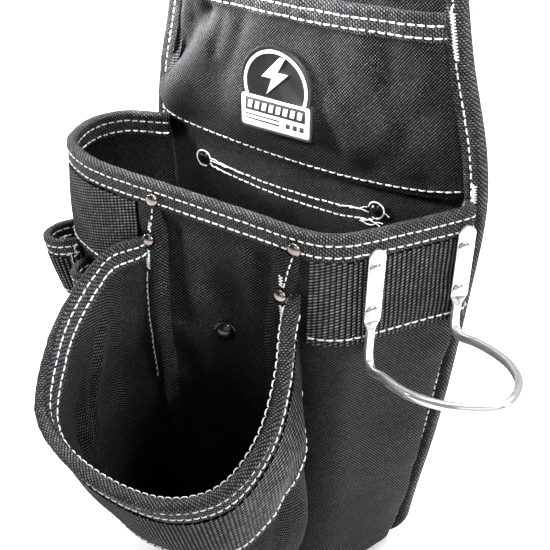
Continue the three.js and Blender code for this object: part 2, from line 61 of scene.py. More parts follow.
PANEL_X, PANEL_TOP, PANEL_BOTTOM, PANEL_CORNER = 3.0, 170.0, -282.0, 26.0
PANEL_BOW, PANEL_EDGE = 7.0, 122.5
PANEL_SIDE = [(84, -282), (91, -236), (103, -170), (115, -72), (120.5, -5), (116.5, 32), (104, 83),
              (97, 122), (91, 170)]
COVER_FACE = 2.4  # a cover's outer face from the panel's middle
CLOTH, TAPE, WEBBING, GAP = 2.4, 1.2, 1.8, 0.3
ON_TAPE, ON_BAND = 1.45, GAP + WEBBING + 0.05  # a stitch's height over the cloth, on a tape and a band
RIB_PITCH, RIB_HEIGHT = 3.1, 0.42
RIB_STEP, STITCH_STEP, TAPE_STEP, CLOTH_STEP = 0.62, 1.2, 2.2, 3.2  # spacing of the points along an edge

RIM_PLAN = [(-117, .8), (-140, -17), (-148, -41), (-136, -68), (-110, -82), (-84, -86), (-40, -86),
            (20, -86), (60, -86), (78, -79), (90, -64), (119, -13), (122.5, .8)]
BASE_PLAN = [(-83, -2.6), (-93, -15), (-96, -30), (-90, -52), (-78, -66), (-58, -73), (-30, -74),
             (15, -74), (42, -73), (60, -66), (72, -50), (88, -14), (89, -2.6)]
MAIN_DEPTH = 268.0
SAG = 12.0  # the loaded cloth hangs this much below its cut length at the base
BAND_TOP, BAND_MIDDLE, BAND_BOTTOM, BAND_SEAM = 14.8, 40.0, 70.0, 65.4
RIM_SEAMS, RIM_LIP = (3.8, 11.2), 14.4  # a binding's seams and lower edge, mm down
FRONT_CREASE = 2.2  # how much sharper the main pocket's front creases are than its other swells
LEFT_FULL, LEFT_FLAT, RIGHT_TUCK = 11.0, 2.6, 6.5  # how far the wall's sides leave their plan
ROLL_START, ROLL_REACH = 258.0, 11.0  # where the wall rolls under at its base

UPPER_MOUTH, UPPER_BULGE, UPPER_SIDE = 107.0, 13.0, 10.6
UPPER_TUCK = 7.4  # the upper pocket's sides end under the panel's binding
UPPER_SWELL, UPPER_OVER = 4.0, 7.5  # its left side swells forward and over that binding
HEM_SEAMS, HEM_LIP = (5.0, 11.8), 14.2
BADGE_X, BADGE_Z, BADGE_R = -6.0, 50.0, 26.0
BADGE_HUB, BAR_Z, PLATE_TOP, BADGE_CURVE = 42.0, 32, 1.7, 0.5

MOUTH_PLAN = [(-60, -90), (-80, -95), (-93, -115), (-96, -140), (-84, -166), (-50, -177.5),
              (-10, -181), (30, -176), (59, -162), (71, -138), (67, -112), (51, -90)]
MOUTH_SLOPE, MOUTH_RISE, MOUTH_Z = 1.2, -12.6, 63.0
FRONT_BOTTOM, FRONT_ROOT, FRONT_NARROW = -264.0, -77.1, 0.62
FRONT_RUN = 500.0  # about the length of the front pocket's rim
FRONT_SEAMS, FRONT_LIP = (4.4, 11.4), 15.4
FRONT_BAND_TOP, FRONT_BAND_MIDDLE, FRONT_BAND_BOTTOM, FRONT_BAND_SEAM = 15.9, 30.0, 54.0, 50.5

SLEEVES = {
    "rear": dict(at=2.75, half=0.42, top=70.0, bottom=158.0, out=23.5, end=6.0),
    "front": dict(at=3.88, half=0.42, top=80.0, bottom=178.0, out=17.0, end=6.0),
}
SLEEVE_CLOTH, SLEEVE_LIP, SLEEVE_SEAMS = 1.8, 10.4, (2.8, 8.0)
COLLAR_TOP, COLLAR_MIDDLE, COLLAR_BOTTOM, COLLAR_SEAM = 10.6, 25.0, 40.0, 37.0

TUNNEL_X, TUNNEL_Z, TUNNEL_WIDTH, TUNNEL_PASSAGE, TUNNEL_LIP = -8.0, 29.0, 160.0, 78.0, 18.0
TUNNEL_PLATE, TUNNEL_THICK, STRAP_LENGTH = 13.5, 2.0, 200.0
STUDS = {"left": (-79.0, -23.0), "right": (57.0, -21.5)}


# ---- shapes ----------------------------------
def matched(u, a):
    """Both values as arrays of one shape."""
    return np.broadcast_arrays(np.asarray(u, float), np.asarray(a, float))


def unit(v):
    return v / np.maximum(np.linalg.norm(v, axis=-1, keepdims=True), 1e-9)


def run_of(p):
    """The length run at each point of a line."""
    return np.concatenate([[0], np.cumsum(np.linalg.norm(np.diff(p, axis=0), axis=-1))])


def follow(at, run, p):
    """The points of a line where its run has the values at."""
    return np.stack([np.interp(at, run, column) for column in p.T], -1)


def extended(points):
    """Control points with one more at each end, straight on."""
    p = np.array(points, float)
    return np.vstack([2 * p[0] - p[1], p, 2 * p[-1] - p[-2]])


def hermite(p1, p2, t1, t2, w):
    return (p1 + t1 * w + (-3 * p1 + 3 * p2 - 2 * t1 - t2) * w ** 2
            + (2 * p1 - 2 * p2 + t1 + t2) * w ** 3)


def catmull(points, t):
    """Uniform Catmull-Rom curve through the points, t from 0 to 1."""
    e = extended(points)
    at = (len(points) - 1) * np.asarray(t, float)
    i = np.clip(np.floor(at).astype(int), 0, len(points) - 2)
    p0, p1, p2, p3 = e[i], e[i + 1], e[i + 2], e[i + 3]
    return hermite(p1, p2, (p2 - p0) / 2, (p3 - p1) / 2, (at - i)[..., None])


def centripetal(points, steps=30):
    """Points along the centripetal Catmull-Rom curve through the points."""
    e = extended(points)
    w = np.linspace(0, 1, steps)[:, None]
    out = []
    for i in range(len(points) - 1):
        p0, p1, p2, p3 = e[i:i + 4]
        d0, d1, d2 = (np.linalg.norm(b - a) ** 0.5 for a, b in ((p0, p1), (p1, p2), (p2, p3)))
        t1 = ((p1 - p0) / d0 - (p2 - p0) / (d0 + d1) + (p2 - p1) / d1) * d1
        t2 = ((p2 - p1) / d1 - (p3 - p1) / (d1 + d2) + (p3 - p2) / d2) * d1
        out.append(hermite(p1, p2, t1, t2, w))
    return np.vstack(out)


SIDE_CURVE = centripetal(PANEL_SIDE)


def bow(x):
    return PANEL_BOW * ((x - PANEL_X) / PANEL_EDGE) ** 2


def half_width(z):
    return np.interp(z, SIDE_CURVE[:, 1], SIDE_CURVE[:, 0])


def corner_cut(distance, r):
    d = np.clip(distance, 0, r)
    return r - np.sqrt(np.maximum(r * r - (r - d) ** 2, 0))


def outline_half(z, inset):
    r = PANEL_CORNER - inset
    return (half_width(z) - inset - corner_cut(PANEL_TOP - inset - z, r)
            - corner_cut(z - PANEL_BOTTOM - inset, r))


def smooth(x, low, high):
    t = np.clip((np.asarray(x, float) - low) / (high - low), 0, 1)
    return t * t * (3 - 2 * t)


def rumple(points, size, seed):
    """A smooth random field of about unit height whose swells are about size mm across."""
    rng = np.random.default_rng(seed)
    total = 0
    for _ in range(8):
        d = rng.normal(size=3)
        d *= 2 * math.pi / (np.linalg.norm(d) * size * rng.uniform(0.7, 1.6))
        total = total + np.sin(points @ d + rng.uniform(0, 6.28))
    return total / 2


def folds(x, z, *creases):
    """Creases along straight lines of the cloth, given as start, end, width and height."""
    total = 0
    for start, end, width, height in creases:
        a = np.array(start, float)
        run = np.array(end, float) - a
        t = np.clip(((x - a[0]) * run[0] + (z - a[1]) * run[1]) / (run @ run), 0, 1)
        off = np.hypot(x - a[0] - t * run[0], z - a[1] - t * run[1])
        total = total + height * np.exp(-(off / width) ** 2)
    return total


def normals(surface, u, a, e=2e-3):
    """Outward unit normals of a cloth surface given as position(u, a), a running down from its top edge."""
    along = surface(u + e, a) - surface(u - e, a)
    down = surface(u, a + 0.2) - surface(u, a - 0.2)
    return unit(np.cross(down, along))


def on_surface(surface, u, a, height):
    """Points at a height over a surface, and the normals there."""
    u, a = matched(u, a)
    n = normals(surface, u, a)
    return surface(u, a) + n * height, n


def lifted(surface, relief):
    """The surface with a relief added along its normals."""
    def moved(u, a):
        u, a = matched(u, a)
        p = surface(u, a)
        return p + normals(surface, u, a) * relief(p, u, a)[..., None]
    return moved


def plain_shell(u, a):
    u, a = matched(u, a)
    w = ((np.maximum(a, 0) / MAIN_DEPTH) ** 1.6)[..., None]
    plan = catmull(RIM_PLAN, u) * (1 - w) + catmull(BASE_PLAN, u) * w
    return np.concatenate([plan, -a[..., None]], -1)


def main_shell(u, a):
    """The main pocket's wall; its left side hangs full, and both ends run onto the panel's edge."""
    u, a = matched(u, a)
    p = plain_shell(u, a)
    full = LEFT_FULL * smooth(a, 4, 56) * (1 - smooth(a, 110, 240)) - LEFT_FLAT
    full = np.exp(-((u - 0.17) / 0.085) ** 2) * full
    p = p + full[..., None] * np.array([-0.95, -0.25, 0])
    p[..., 0] -= RIGHT_TUCK * smooth(a, 60, 130) * smooth(u, 0.78, 0.93)  # the panel's edge shows there
    p[..., 2] -= SAG * smooth(a, 150, MAIN_DEPTH)
    for sign, end, reach in ((1, u, 9.5), (-1, 1 - u, 5.0 + 2.0 * smooth(a, 40, 110))):
        p = p + ((1 - smooth(end, 0, 0.06)) * reach)[..., None] * np.array([sign, 0.08, 0])
    return p


def wall_u(x, a, surface=main_shell):
    """The place along the main pocket's wall where its front or right side crosses x."""
    u = np.linspace(0.3, 1, 1500)
    return float(np.interp(x, surface(u, np.full(1500, float(a)))[:, 0], u))


def main_relief(p, u, a):
    x, z = p[..., 0], p[..., 2]
    front = smooth(-p[..., 1], 55, 80) * smooth(a, 12, 30)
    lines = folds(x, z, ((-37, -24), (-31, -84), 6.5, -3.0), ((-22, -34), (-20, -70), 8, 1.6),
                  ((6, -58), (2, -150), 15, -3.6), ((33, -22), (28, -78), 7, -2.4),
                  ((18, -26), (24, -60), 7, 1.4), ((-30, -120), (-12, -190), 12, -2.2))
    side = (1 - smooth(-p[..., 1], 55, 80)) * smooth(a, 66, 95)
    lean = folds(x, z, ((84, -74), (94, -150), 9, -2.6), ((108, -92), (98, -190), 8, 1.8),
                 ((-128, -80), (-112, -170), 10, -2.5))
    soft = rumple(p, 75, 11) * 0.9 * smooth(a, 20, 80) + rumple(p, 26, 12) * 0.22 * smooth(a, 14, 40)
    turn = -7 * (1 - np.sqrt(1 - np.clip((a - ROLL_START) / ROLL_REACH, 0, 0.999) ** 2))
    belly = 3.0 * np.sin(np.pi * np.clip(a / MAIN_DEPTH, 0, 1)) ** 2
    ends = smooth(np.minimum(u, 1 - u), 0.0, 0.05)
    return (front * lines * FRONT_CREASE + side * lean + soft + belly) * ends + turn


main_wall = lifted(main_shell, main_relief)
JOIN_V = np.linspace(0, 1, 50)


def join_line(top, bottom):
    """Where an end of the front pocket's wall meets the main pocket, as points by share of its depth."""
    a = top[1] + (bottom[1] - top[1]) * JOIN_V
    x = top[0] + (bottom[0] - top[0]) * JOIN_V ** 1.3
    u = np.array([wall_u(*at) for at in zip(x, a)])
    return on_surface(main_shell, u, a, 0.6 + CLOTH * 0.5)[0]


JOINS = (join_line((-54.0, 33), (-45, 253)), join_line((59.0, 38), (43, 253)))


def front_plain(u, v):
    """The front pocket's wall by share of its depth, before its ends are laid on the main pocket."""
    plan = catmull(MOUTH_PLAN, u)
    mouth = np.concatenate([plan, (MOUTH_RISE + MOUTH_SLOPE * (plan[..., 1:] + MOUTH_Z))], -1)
    seam = np.stack([mouth[..., 0] * FRONT_NARROW, np.full(u.shape, FRONT_ROOT),
                     np.full(u.shape, FRONT_BOTTOM)], -1)
    belly = seam + (mouth - seam) * np.array([0.6, 0.6, 0.04])
    breast = np.stack([mouth[..., 0] * 1.12 + 4 * np.sin(np.pi * u),
                       mouth[..., 1] + 0.1 * (seam[..., 1] - mouth[..., 1]),
                       mouth[..., 2] + 0.42 * (seam[..., 2] - mouth[..., 2])], -1)
    v = v[..., None]
    return (mouth * (1 - v) ** 3 + 3 * breast * v * (1 - v) ** 2 + 3 * belly * v * v * (1 - v)
            + seam * v ** 3)


def front_shell(u, v):
    """The front pocket's wall, its two ends laid onto the main pocket's front."""
    u, v = matched(u, v)
    p = front_plain(u, v)
    for join, end, reach in ((JOINS[0], u, 0.12), (JOINS[1], 1 - u, 0.07)):
        w = (1 - np.clip(end / reach, 0, 1))[..., None] ** 1.8
        p = p * (1 - w) + follow(v, JOIN_V, join) * w
    return p


def front_reach(u):
    """Millimetres of cloth for one unit of v at the front pocket's mouth."""
    return np.linalg.norm(front_shell(u, 1e-3) - front_shell(u, 0), axis=-1) / 1e-3


def front_relief(p, u, a):
    body = smooth(a, 22, 70)
    ends = smooth(np.minimum(u, 1 - u), 0.0, 0.14)
    flare = -(10.0 - 6.0 * smooth(u, 0.3, 0.5)) * (1 - np.exp(-np.maximum(a, 0) / 11))
    flare = flare * (1 - smooth(a, 40, 110)) * ends
    flank = 8.0 * np.exp(-((u - 0.88) / 0.08) ** 2) * smooth(a, 2, 40) * (1 - smooth(a, 110, 210))
    lines = folds(u * FRONT_RUN, a, ((60, 30), (135, 105), 9, -6.0), ((85, 24), (160, 70), 8, 4.6),
                  ((110, 40), (170, 130), 10, -5.0), ((430, 26), (380, 110), 10, -3.0),
                  ((452, 30), (420, 120), 9, 2.2), ((240, 60), (250, 130), 14, -2.6),
                  ((320, 64), (300, 140), 12, 2))
    soft = rumple(p, 60, 21) * 1.1 + rumple(p, 24, 22) * 0.3
    return (soft + lines) * body + rumple(p, 90, 23) * 0.6 * ends + flare + flank


def front_mm(u, a):
    """The front pocket's wall by millimetres down from its mouth."""
    u, a = matched(u, a)
    return front_shell(u, a / front_reach(u))


front_wall = lifted(front_mm, front_relief)


def seam_height(x):
    """Height of the seam that closes the upper pocket's foot; it climbs towards both sides."""
    t = np.where(x < 25, (25 - x) / 125, (x - 25) / 90)
    return -1.5 + 5 * t ** 1.5 + 3.5 * t ** 6


def upper_shell(u, a):
    u, a = matched(u, a)
    z = UPPER_MOUTH - a
    x = PANEL_X + u * (half_width(z) - UPPER_TUCK)
    lift = np.clip((z + 7) / 46, 0, 1)
    across = (x - PANEL_X) / (half_width(z) - UPPER_SIDE)
    crown = np.where(across < 0, np.maximum(1 - np.abs(across) ** 5, 0) ** 0.6,
                     np.maximum(1 - across ** 2, 0) ** 0.7)
    over = np.exp(-((z - 27) / 25) ** 2) * smooth(-across, 0.5, 0.88) * (1 - smooth(-u, 0.95, 1.0))
    puff = UPPER_BULGE * crown * np.sin(lift * np.pi / 2) + UPPER_SWELL * over
    x = x - UPPER_OVER * over
    return np.stack([x, bow(x) - COVER_FACE - GAP - CLOTH - 0.2 - puff, z], -1)


def upper_relief(p, u, a):
    x, z = p[..., 0], p[..., 2]
    lines = folds(x, z, ((-50, 102), (-105, 42), 8, -8.0), ((-66, 62), (-98, 18), 12, 3.0),
                  ((-58, 102), (-66, 78), 4, -2.0), ((-74, 100), (-82, 76), 4, -2.2),
                  ((-30, 92), (-42, 52), 5, -1.8), ((-44, 96), (-54, 62), 4, -1.4),
                  ((86, 46), (58, 6), 9, -1.2), ((28, 96), (34, 58), 7, -1.8),
                  ((62, 94), (66, 60), 7, -1.5), ((92, 92), (84, 60), 6, 1.4),
                  ((30, 30), (-40, 12), 8, -1.2))
    calm = smooth(np.hypot(x - BADGE_X, z - BADGE_HUB), 26, 48)  # the badge holds the cloth flat
    edge = smooth(1 - np.abs(u), 0.0, 0.05) * smooth(z, 0, 14)
    return edge * calm * (lines * smooth(a, 8, 26) + rumple(p, 40, 31) * 0.55 + rumple(p, 17, 32) * 0.14)


upper_wall = lifted(upper_shell, upper_relief)


def panel_face(front):
    """One face of the panel by x and z; the cloth swells a little between its seams."""
    sign = -1 if front else 1

    def surface(x, z):
        x, z = matched(x, z)
        edge = outline_half(np.clip(z, PANEL_BOTTOM + 1.2, PANEL_TOP - 1.2), 1) - np.abs(x - PANEL_X)
        inner = smooth(edge, 6, 26) * smooth(PANEL_TOP - z, 6, 26) * smooth(z - PANEL_BOTTOM, 6, 26)
        p = np.stack([x, z, 0 * x], -1)
        swell = (0.5 + 0.45 * rumple(p, 60, 41 if front else 43) + 0.12 * rumple(p, 18, 42)) * inner
        seam = np.exp(-((z + 28) / 5) ** 2) * smooth(x, -84, -70) * (1 - smooth(x, 50, 64))
        swell = swell - 0.7 * seam * inner if front else swell * 0.6
        return np.stack([x, bow(x) + sign * (COVER_FACE + swell), z], -1)
    return surface


panel_front = panel_face(True)


def sleeve_wall(s, seed):
    """A tool sleeve's tube on the main pocket's wall, by share of its way round and mm down."""
    depth = s["bottom"] - s["top"]

    def tube(t, a):
        t, a = matched(t, a)
        u = (s["at"] - s["half"] * np.cos(np.pi * t)) / (len(RIM_PLAN) - 1)
        bulge = np.sin(np.pi * t)
        out = (s["out"] + (s["end"] - s["out"]) * np.clip(a / depth, 0, 1) ** 1.5) * bulge
        n = normals(main_shell, u, s["top"] + a)
        p = main_shell(u, s["top"] + a) + n * (0.8 + out)[..., None]
        wave = rumple(p, 34, seed) * 1.1 * smooth(a, 30, 60) * bulge
        return p + n * wave[..., None]
    return tube


# ---- meshes ----------------------------------
def publish(name, verts, faces, look, replaces=(), cloth=None, angle=50):
    """A piece of the pouch from mesh data in mm: smooth shaded, named, on the body, with its cloth map."""
    material, slot = look
    mesh = bpy.data.meshes.new(name)
    mesh.from_pydata(((verts + RIM) / 1000).tolist(), [], [tuple(int(i) for i in f) for f in faces])
    mesh.validate()
    obj = bpy.data.objects.new(name, mesh)
    bpy.context.scene.collection.objects.link(obj)
    if cloth is not None:
        layer = mesh.attributes.new("cloth", "FLOAT_VECTOR", "POINT")
        layer.data.foreach_set("vector", np.asarray(cloth, np.float32).ravel())
    mesh.materials.append(material)
    mesh.shade_smooth()
    mesh.set_sharp_from_angle(angle=math.radians(angle))
    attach(obj, "root")
    if replaces:
        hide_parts(*replaces)
    return obj


def quads(rows, cols, close_rows=False, close_cols=False):
    r = np.arange(rows if close_rows else rows - 1)
    c = np.arange(cols if close_cols else cols - 1)
    r, c = np.meshgrid(r, c, indexing="ij")
    r2, c2 = (r + 1) % rows, (c + 1) % cols
    return np.stack([r * cols + c, r * cols + c2, r2 * cols + c2, r2 * cols + c], -1).reshape(-1, 4)


def tube_faces(rings, sides, flip=False):
    """Faces of a closed tube: its rings of points in turn, and a cap at each end."""
    faces = quads(rings, sides, False, True).tolist()
    faces += [list(range(sides))[::-1], list(range((rings - 1) * sides, rings * sides))]
    return [face[::-1] for face in faces] if flip else faces


def round_angles(sides):
    return np.arange(sides) * 2 * np.pi / sides


def grid_map(run, across, chance=0.0):
    """A cloth map of rings of points: run along the piece, the way across it and one more number."""
    x, y = np.meshgrid(run, across, indexing="ij")
    return np.stack([x, y, 0 * x + chance], -1).reshape(-1, 3)


def ply(name, outer, inner, cloth, look, replaces=(), flip=False, ring=False):
    """A closed ply of cloth from two grids of points; on a ring the grid's last column meets its first."""
    shape = outer.shape[:2]
    ids = np.arange(shape[0] * shape[1]).reshape(shape)
    border = np.concatenate([ids[0, :-1], ids[:-1, -1], ids[-1, :0:-1], ids[:0:-1, 0]])
    if ring:
        border = ids[0]
    after = np.roll(border, -1)
    edge = np.stack([border, after, after + ids.size, border + ids.size], -1)
    face = quads(*shape, False, ring)
    faces = np.concatenate([face[:, ::-1], face + ids.size, edge])
    verts = np.concatenate([outer.reshape(-1, 3), inner.reshape(-1, 3)])
    cloth = np.tile(cloth.reshape(-1, 3), (2, 1))
    return publish(name, verts, faces[:, ::-1] if flip else faces, look, replaces, cloth)


def sheet(name, surface, us, rows, inner, outer, look, replaces=(), a_of=None):
    """A closed ply of cloth on a surface, between two heights over it."""
    u, a = np.meshgrid(us, rows)
    if a_of is not None:
        a = a_of(u, a)
    p, n = on_surface(surface, u, a, 0)
    step = np.linalg.norm(np.diff(p, axis=1), axis=-1)
    run = np.concatenate([np.zeros((len(p), 1)), np.cumsum(step, 1)], 1).mean(0) + 0 * u
    return ply(name, p + n * outer, p + n * inner, np.stack([run, a, 0 * u], -1), look, replaces)


def spread_us(surface, start, end, spacing, a=0.0):
    """Evenly spaced places along a surface's edge."""
    u = np.linspace(start, end, 2000)
    run = run_of(surface(u, np.full(2000, a)))
    return np.interp(np.linspace(0, run[-1], int(run[-1] / spacing)), run, u)


def webbing(name, surface, span, middle, rows, low, node):
    """A band of webbing on a surface: upright ribs standing out between thin grooves."""
    table = np.linspace(span[0], span[-1], 1500)
    run = run_of(surface(table, np.full(1500, middle)))

    def rib(p, u, a):
        phase = np.interp(u, table, run) / RIB_PITCH * np.pi
        return RIB_HEIGHT * (np.abs(np.sin(phase)) ** 0.6 - 0.6)
    sheet(name, lifted(surface, rib), span, rows, low, low + WEBBING, RIBBED, [node])


def tape(name, surface, us, lip, thick, node, seams, seed, roll=0.0):
    """A binding tape folded over a cloth's top edge: rounded over the edge and drawn in at its seams."""
    mid = -thick / 2

    def face(a):
        drawn = sum(np.exp(-((a - s) / 1.1) ** 2) for s in seams)
        swell = 0.55 * (1 - np.minimum(drawn, 1)) * smooth(lip - a, 0, 1.6) - 0.12
        return GAP + TAPE + swell + roll * math.sqrt(max(0.0, 1 - (a / seams[0]) ** 2))

    down = np.linspace(lip, 0.4, 20)
    arc = np.linspace(0, np.pi, 13)[1:-1]
    crown, side = 1.9 + 0.8 * roll, thick / 2 + face(0.4)
    section = [(a, face(a)) for a in down]
    section += [(-crown * math.sin(t), mid + side * math.cos(t)) for t in arc]
    section += [(a, -thick - face(a)) for a in down[::-1]]
    section += [(lip + 0.1, -thick - 0.1), (lip * 0.5, -thick - 0.1), (0.4, -thick - 0.1), (0.1, mid),
                (0.4, 0.1), (lip * 0.5, 0.1), (lip + 0.1, 0.1)]
    section = np.array(section)
    edge = surface(us, np.full(len(us), 6.0))
    a, s = section.T
    a = a + 0.35 * rumple(edge, 30, seed)[:, None] * smooth(a, 4, lip)  # the edges wander a little
    p, n = on_surface(surface, us[:, None], a, 0)
    pucker = 0.16 * rumple(p, 7, seed + 1) * np.sign(s - mid) * (np.abs(s - mid) > thick / 2 + 0.5)
    verts = p + n * (s + pucker)[..., None]
    publish(name, verts.reshape(-1, 3), tube_faces(len(us), len(section), True), GROSGRAIN, [node],
            grid_map(run_of(edge), run_of(section)), 60)


# ---- thread ----------------------------------
def inside(surface, u, a, height):
    """A path on a surface's inner side."""
    p, n = on_surface(surface, u, a, height)
    return p, -n


def facing(p, y):
    """A path whose normals all point along y."""
    return p, np.zeros_like(p) + [0, y, 0]


def resample(path, at):
    p, n = path
    run = run_of(p)
    return follow(at, run, p), unit(follow(at, run, n))


def length_of(path):
    return float(np.linalg.norm(np.diff(path[0], axis=0), axis=-1).sum())


def thread(name, parts):
    """One piece from threads given as points, faces and cloth maps."""
    verts, faces, tags, base = [], [], [], 0
    for v, f, c in parts:
        verts.append(v)
        tags.append(c)
        faces.extend([[i + base for i in face] for face in f])
        base += len(v)
    publish(name, np.concatenate(verts), faces, THREAD, cloth=np.concatenate(tags), angle=80)


def stitches(path, pitch, long, radius, rng):
    """Running stitches along a path: each is a plump thread whose two ends dive into the cloth."""
    rings, sides = 9, 7
    t = np.linspace(-1, 1, rings)
    theta = round_angles(sides)
    total = length_of(path)
    count = max(1, int(total / pitch))
    step = total / count
    centre = (np.arange(count) + 0.5) * step + rng.normal(0, 0.12, count)
    half = (long / pitch) * step / 2 * rng.uniform(0.9, 1.06, count)
    at = centre[:, None] + half[:, None] * t
    q, m = resample(path, np.clip(at, 0, total))
    side = unit(np.cross(unit(np.gradient(q, axis=1)), m))
    lift = radius * (0.75 - 1.9 * np.abs(t) ** 5)
    skew = rng.normal(0, 0.1, count)[:, None] * t + rng.normal(0, 0.06, count)[:, None]
    q = q + m * lift[:, None] + side * skew[..., None]
    girth = radius * (1 - 0.35 * np.abs(t) ** 4)
    ring = side[:, :, None] * np.cos(theta)[:, None] * 1.12 + m[:, :, None] * np.sin(theta)[:, None] * 0.85
    v = q[:, :, None] + ring * girth[:, None, None]
    tag = np.stack(np.broadcast_arrays(at[:, :, None], theta, rng.uniform(0, 1, count)[:, None, None]), -1)
    faces = tube_faces(rings, sides)
    return [(v[k].reshape(-1, 3), faces, tag[k].reshape(-1, 3)) for k in range(count)]


def seam(name, paths, seed, pitch=5.4, long=4.7, radius=0.52):
    rng = np.random.default_rng(seed)
    thread(name, [part for path in paths for part in stitches(path, pitch, long, radius, rng)])


def strand(p, n, radius, sides=7):
    """A thread that follows a run of points."""
    tangent = unit(np.gradient(p, axis=0))
    side = unit(np.cross(tangent, n))
    up = np.cross(side, tangent)
    theta = round_angles(sides)
    girth = np.full((len(p), 1, 1), radius)
    girth[[0, -1]] *= 0.4
    v = p[:, None] + (side[:, None] * np.cos(theta)[:, None] + up[:, None] * np.sin(theta)[:, None]) * girth
    return v.reshape(-1, 3), tube_faces(len(p), sides), grid_map(run_of(p), theta, 0.5)


def zigzag(path, width, pitch, radius, seed):
    """A bartack: one thread thrown from side to side along a path."""
    rng = np.random.default_rng(seed)
    total = length_of(path)
    count = int(total / pitch) * 4 + 1
    q, m = resample(path, np.linspace(0, total, count))
    side = np.cross(unit(np.gradient(q, axis=0)), m)
    phase = np.arange(count) / 4 * 2 * np.pi
    swing = np.sin(phase) * width / 2 * rng.uniform(0.85, 1.1, count)
    rise = radius * (0.5 + 0.5 * np.cos(phase * 2)) + rng.normal(0, 0.05, count)
    q = q + side * swing[:, None] + m * rise[:, None]
    fine = np.linspace(0, count - 1, count * 3)
    return strand(follow(fine, np.arange(count), q), follow(fine, np.arange(count), m), radius, 6)


# ---- looks -----------------------------------
class Look:
    """A material and short names for its nodes."""
    INPUTS = {"base": "Base Color", "rough": "Roughness", "metal": "Metallic", "normal": "Normal",
              "sheen": "Sheen Weight", "sheen_rough": "Sheen Roughness", "sheen_tint": "Sheen Tint",
              "coat": "Coat Weight", "coat_rough": "Coat Roughness", "specular": "Specular IOR Level",
              "glow": "Emission Color", "glow_strength": "Emission Strength"}

    def __init__(self, name):
        self.mat = bpy.data.materials.new(name)
        self.mat.use_nodes = True
        self.tree = self.mat.node_tree

    def put(self, socket, value):
        if isinstance(value, bpy.types.NodeSocket):
            self.tree.links.new(value, socket)
        else:
            socket.default_value = value

    def set(self, **values):
        for key, value in values.items():
            self.put(self.tree.nodes["Principled BSDF"].inputs[self.INPUTS[key]], value)

    def node(self, kind, inputs, **settings):
        """The outputs of a new node with these inputs, by name or number, and settings."""
        n = self.tree.nodes.new("ShaderNode" + kind)
        for key, value in settings.items():
            setattr(n, key, value)
        for key, value in inputs.items():
            self.put(n.inputs[key], value)
        return n.outputs

    def math(self, op, a, b=0.0, clamp=False):
        return self.node("Math", {0: a, 1: b}, operation=op, use_clamp=clamp)[0]

    def spread(self, value, low, high, to_low=0.0, to_high=1.0):
        return self.node("MapRange", {0: value, 1: low, 2: high, 3: to_low, 4: to_high})[0]

    def mix(self, factor, a, b):
        a, b = (c if isinstance(c, bpy.types.NodeSocket) else (*c, 1) for c in (a, b))
        return self.node("Mix", {0: factor, 6: a, 7: b}, data_type="RGBA")[2]

    def cloth(self):
        """The piece's cloth map as three numbers."""
        vector = self.node("Attribute", {}, attribute_name="cloth")["Vector"]
        return self.node("SeparateXYZ", {0: vector})[:3]

    def noise(self, scale, detail, rough):
        place = self.node("TexCoord", {})["Object"]
        inputs = {"Vector": place, "Scale": scale, "Detail": detail, "Roughness": rough}
        return self.node("TexNoise", inputs)[0]

    def bump(self, height, strength, distance, under=None):
        inputs = {"Strength": strength, "Distance": distance, "Height": height}
        if under is not None:
            inputs["Normal"] = under
        return self.node("Bump", inputs)[0]

    def cell(self, x):
        """A cell's number, the place across it, and a hump that is 1 in its middle and 0 at its edges."""
        number = self.math("FLOOR", x)
        off = self.math("SUBTRACT", self.math("SUBTRACT", x, number), 0.5)
        square = self.math("MULTIPLY", self.math("MULTIPLY", off, off), 4.0)
        return number, off, self.math("SUBTRACT", 1.0, square)

    def chance(self, a, b):
        """A random number for each pair of whole numbers."""
        pair = self.node("CombineXYZ", {0: a, 1: b})[0]
        return self.node("TexWhiteNoise", {"Vector": pair}, noise_dimensions="2D")[0]

    def dashes(self, u, v, width, length, slant):
        """Rounded yarn floats in columns, each shifted by half a float. Gives height and a yarn number."""
        column, across, hump_x = self.cell(self.math("DIVIDE", u, width))
        y = self.math("ADD", self.math("DIVIDE", v, length), self.math("MULTIPLY", column, 0.5))
        yarn, _, hump_y = self.cell(self.math("ADD", y, self.math("MULTIPLY", across, slant)))
        height = self.math("POWER", self.math("MULTIPLY", hump_x, hump_y, True), 0.6)
        return height, self.chance(column, yarn)

    def checks(self, u, v, pitch):
        """Warp and weft floats that change places like a chessboard. Gives height and a yarn number."""
        x, y = self.math("DIVIDE", u, pitch), self.math("DIVIDE", v, pitch)
        swell = [self.math("COSINE", self.math("MULTIPLY", t, math.pi)) for t in (x, y)]
        height = self.math("MULTIPLY", self.math("MULTIPLY", *swell), 0.5)
        return self.math("ADD", height, 0.5), self.chance(self.math("ROUND", x), self.math("ROUND", y))


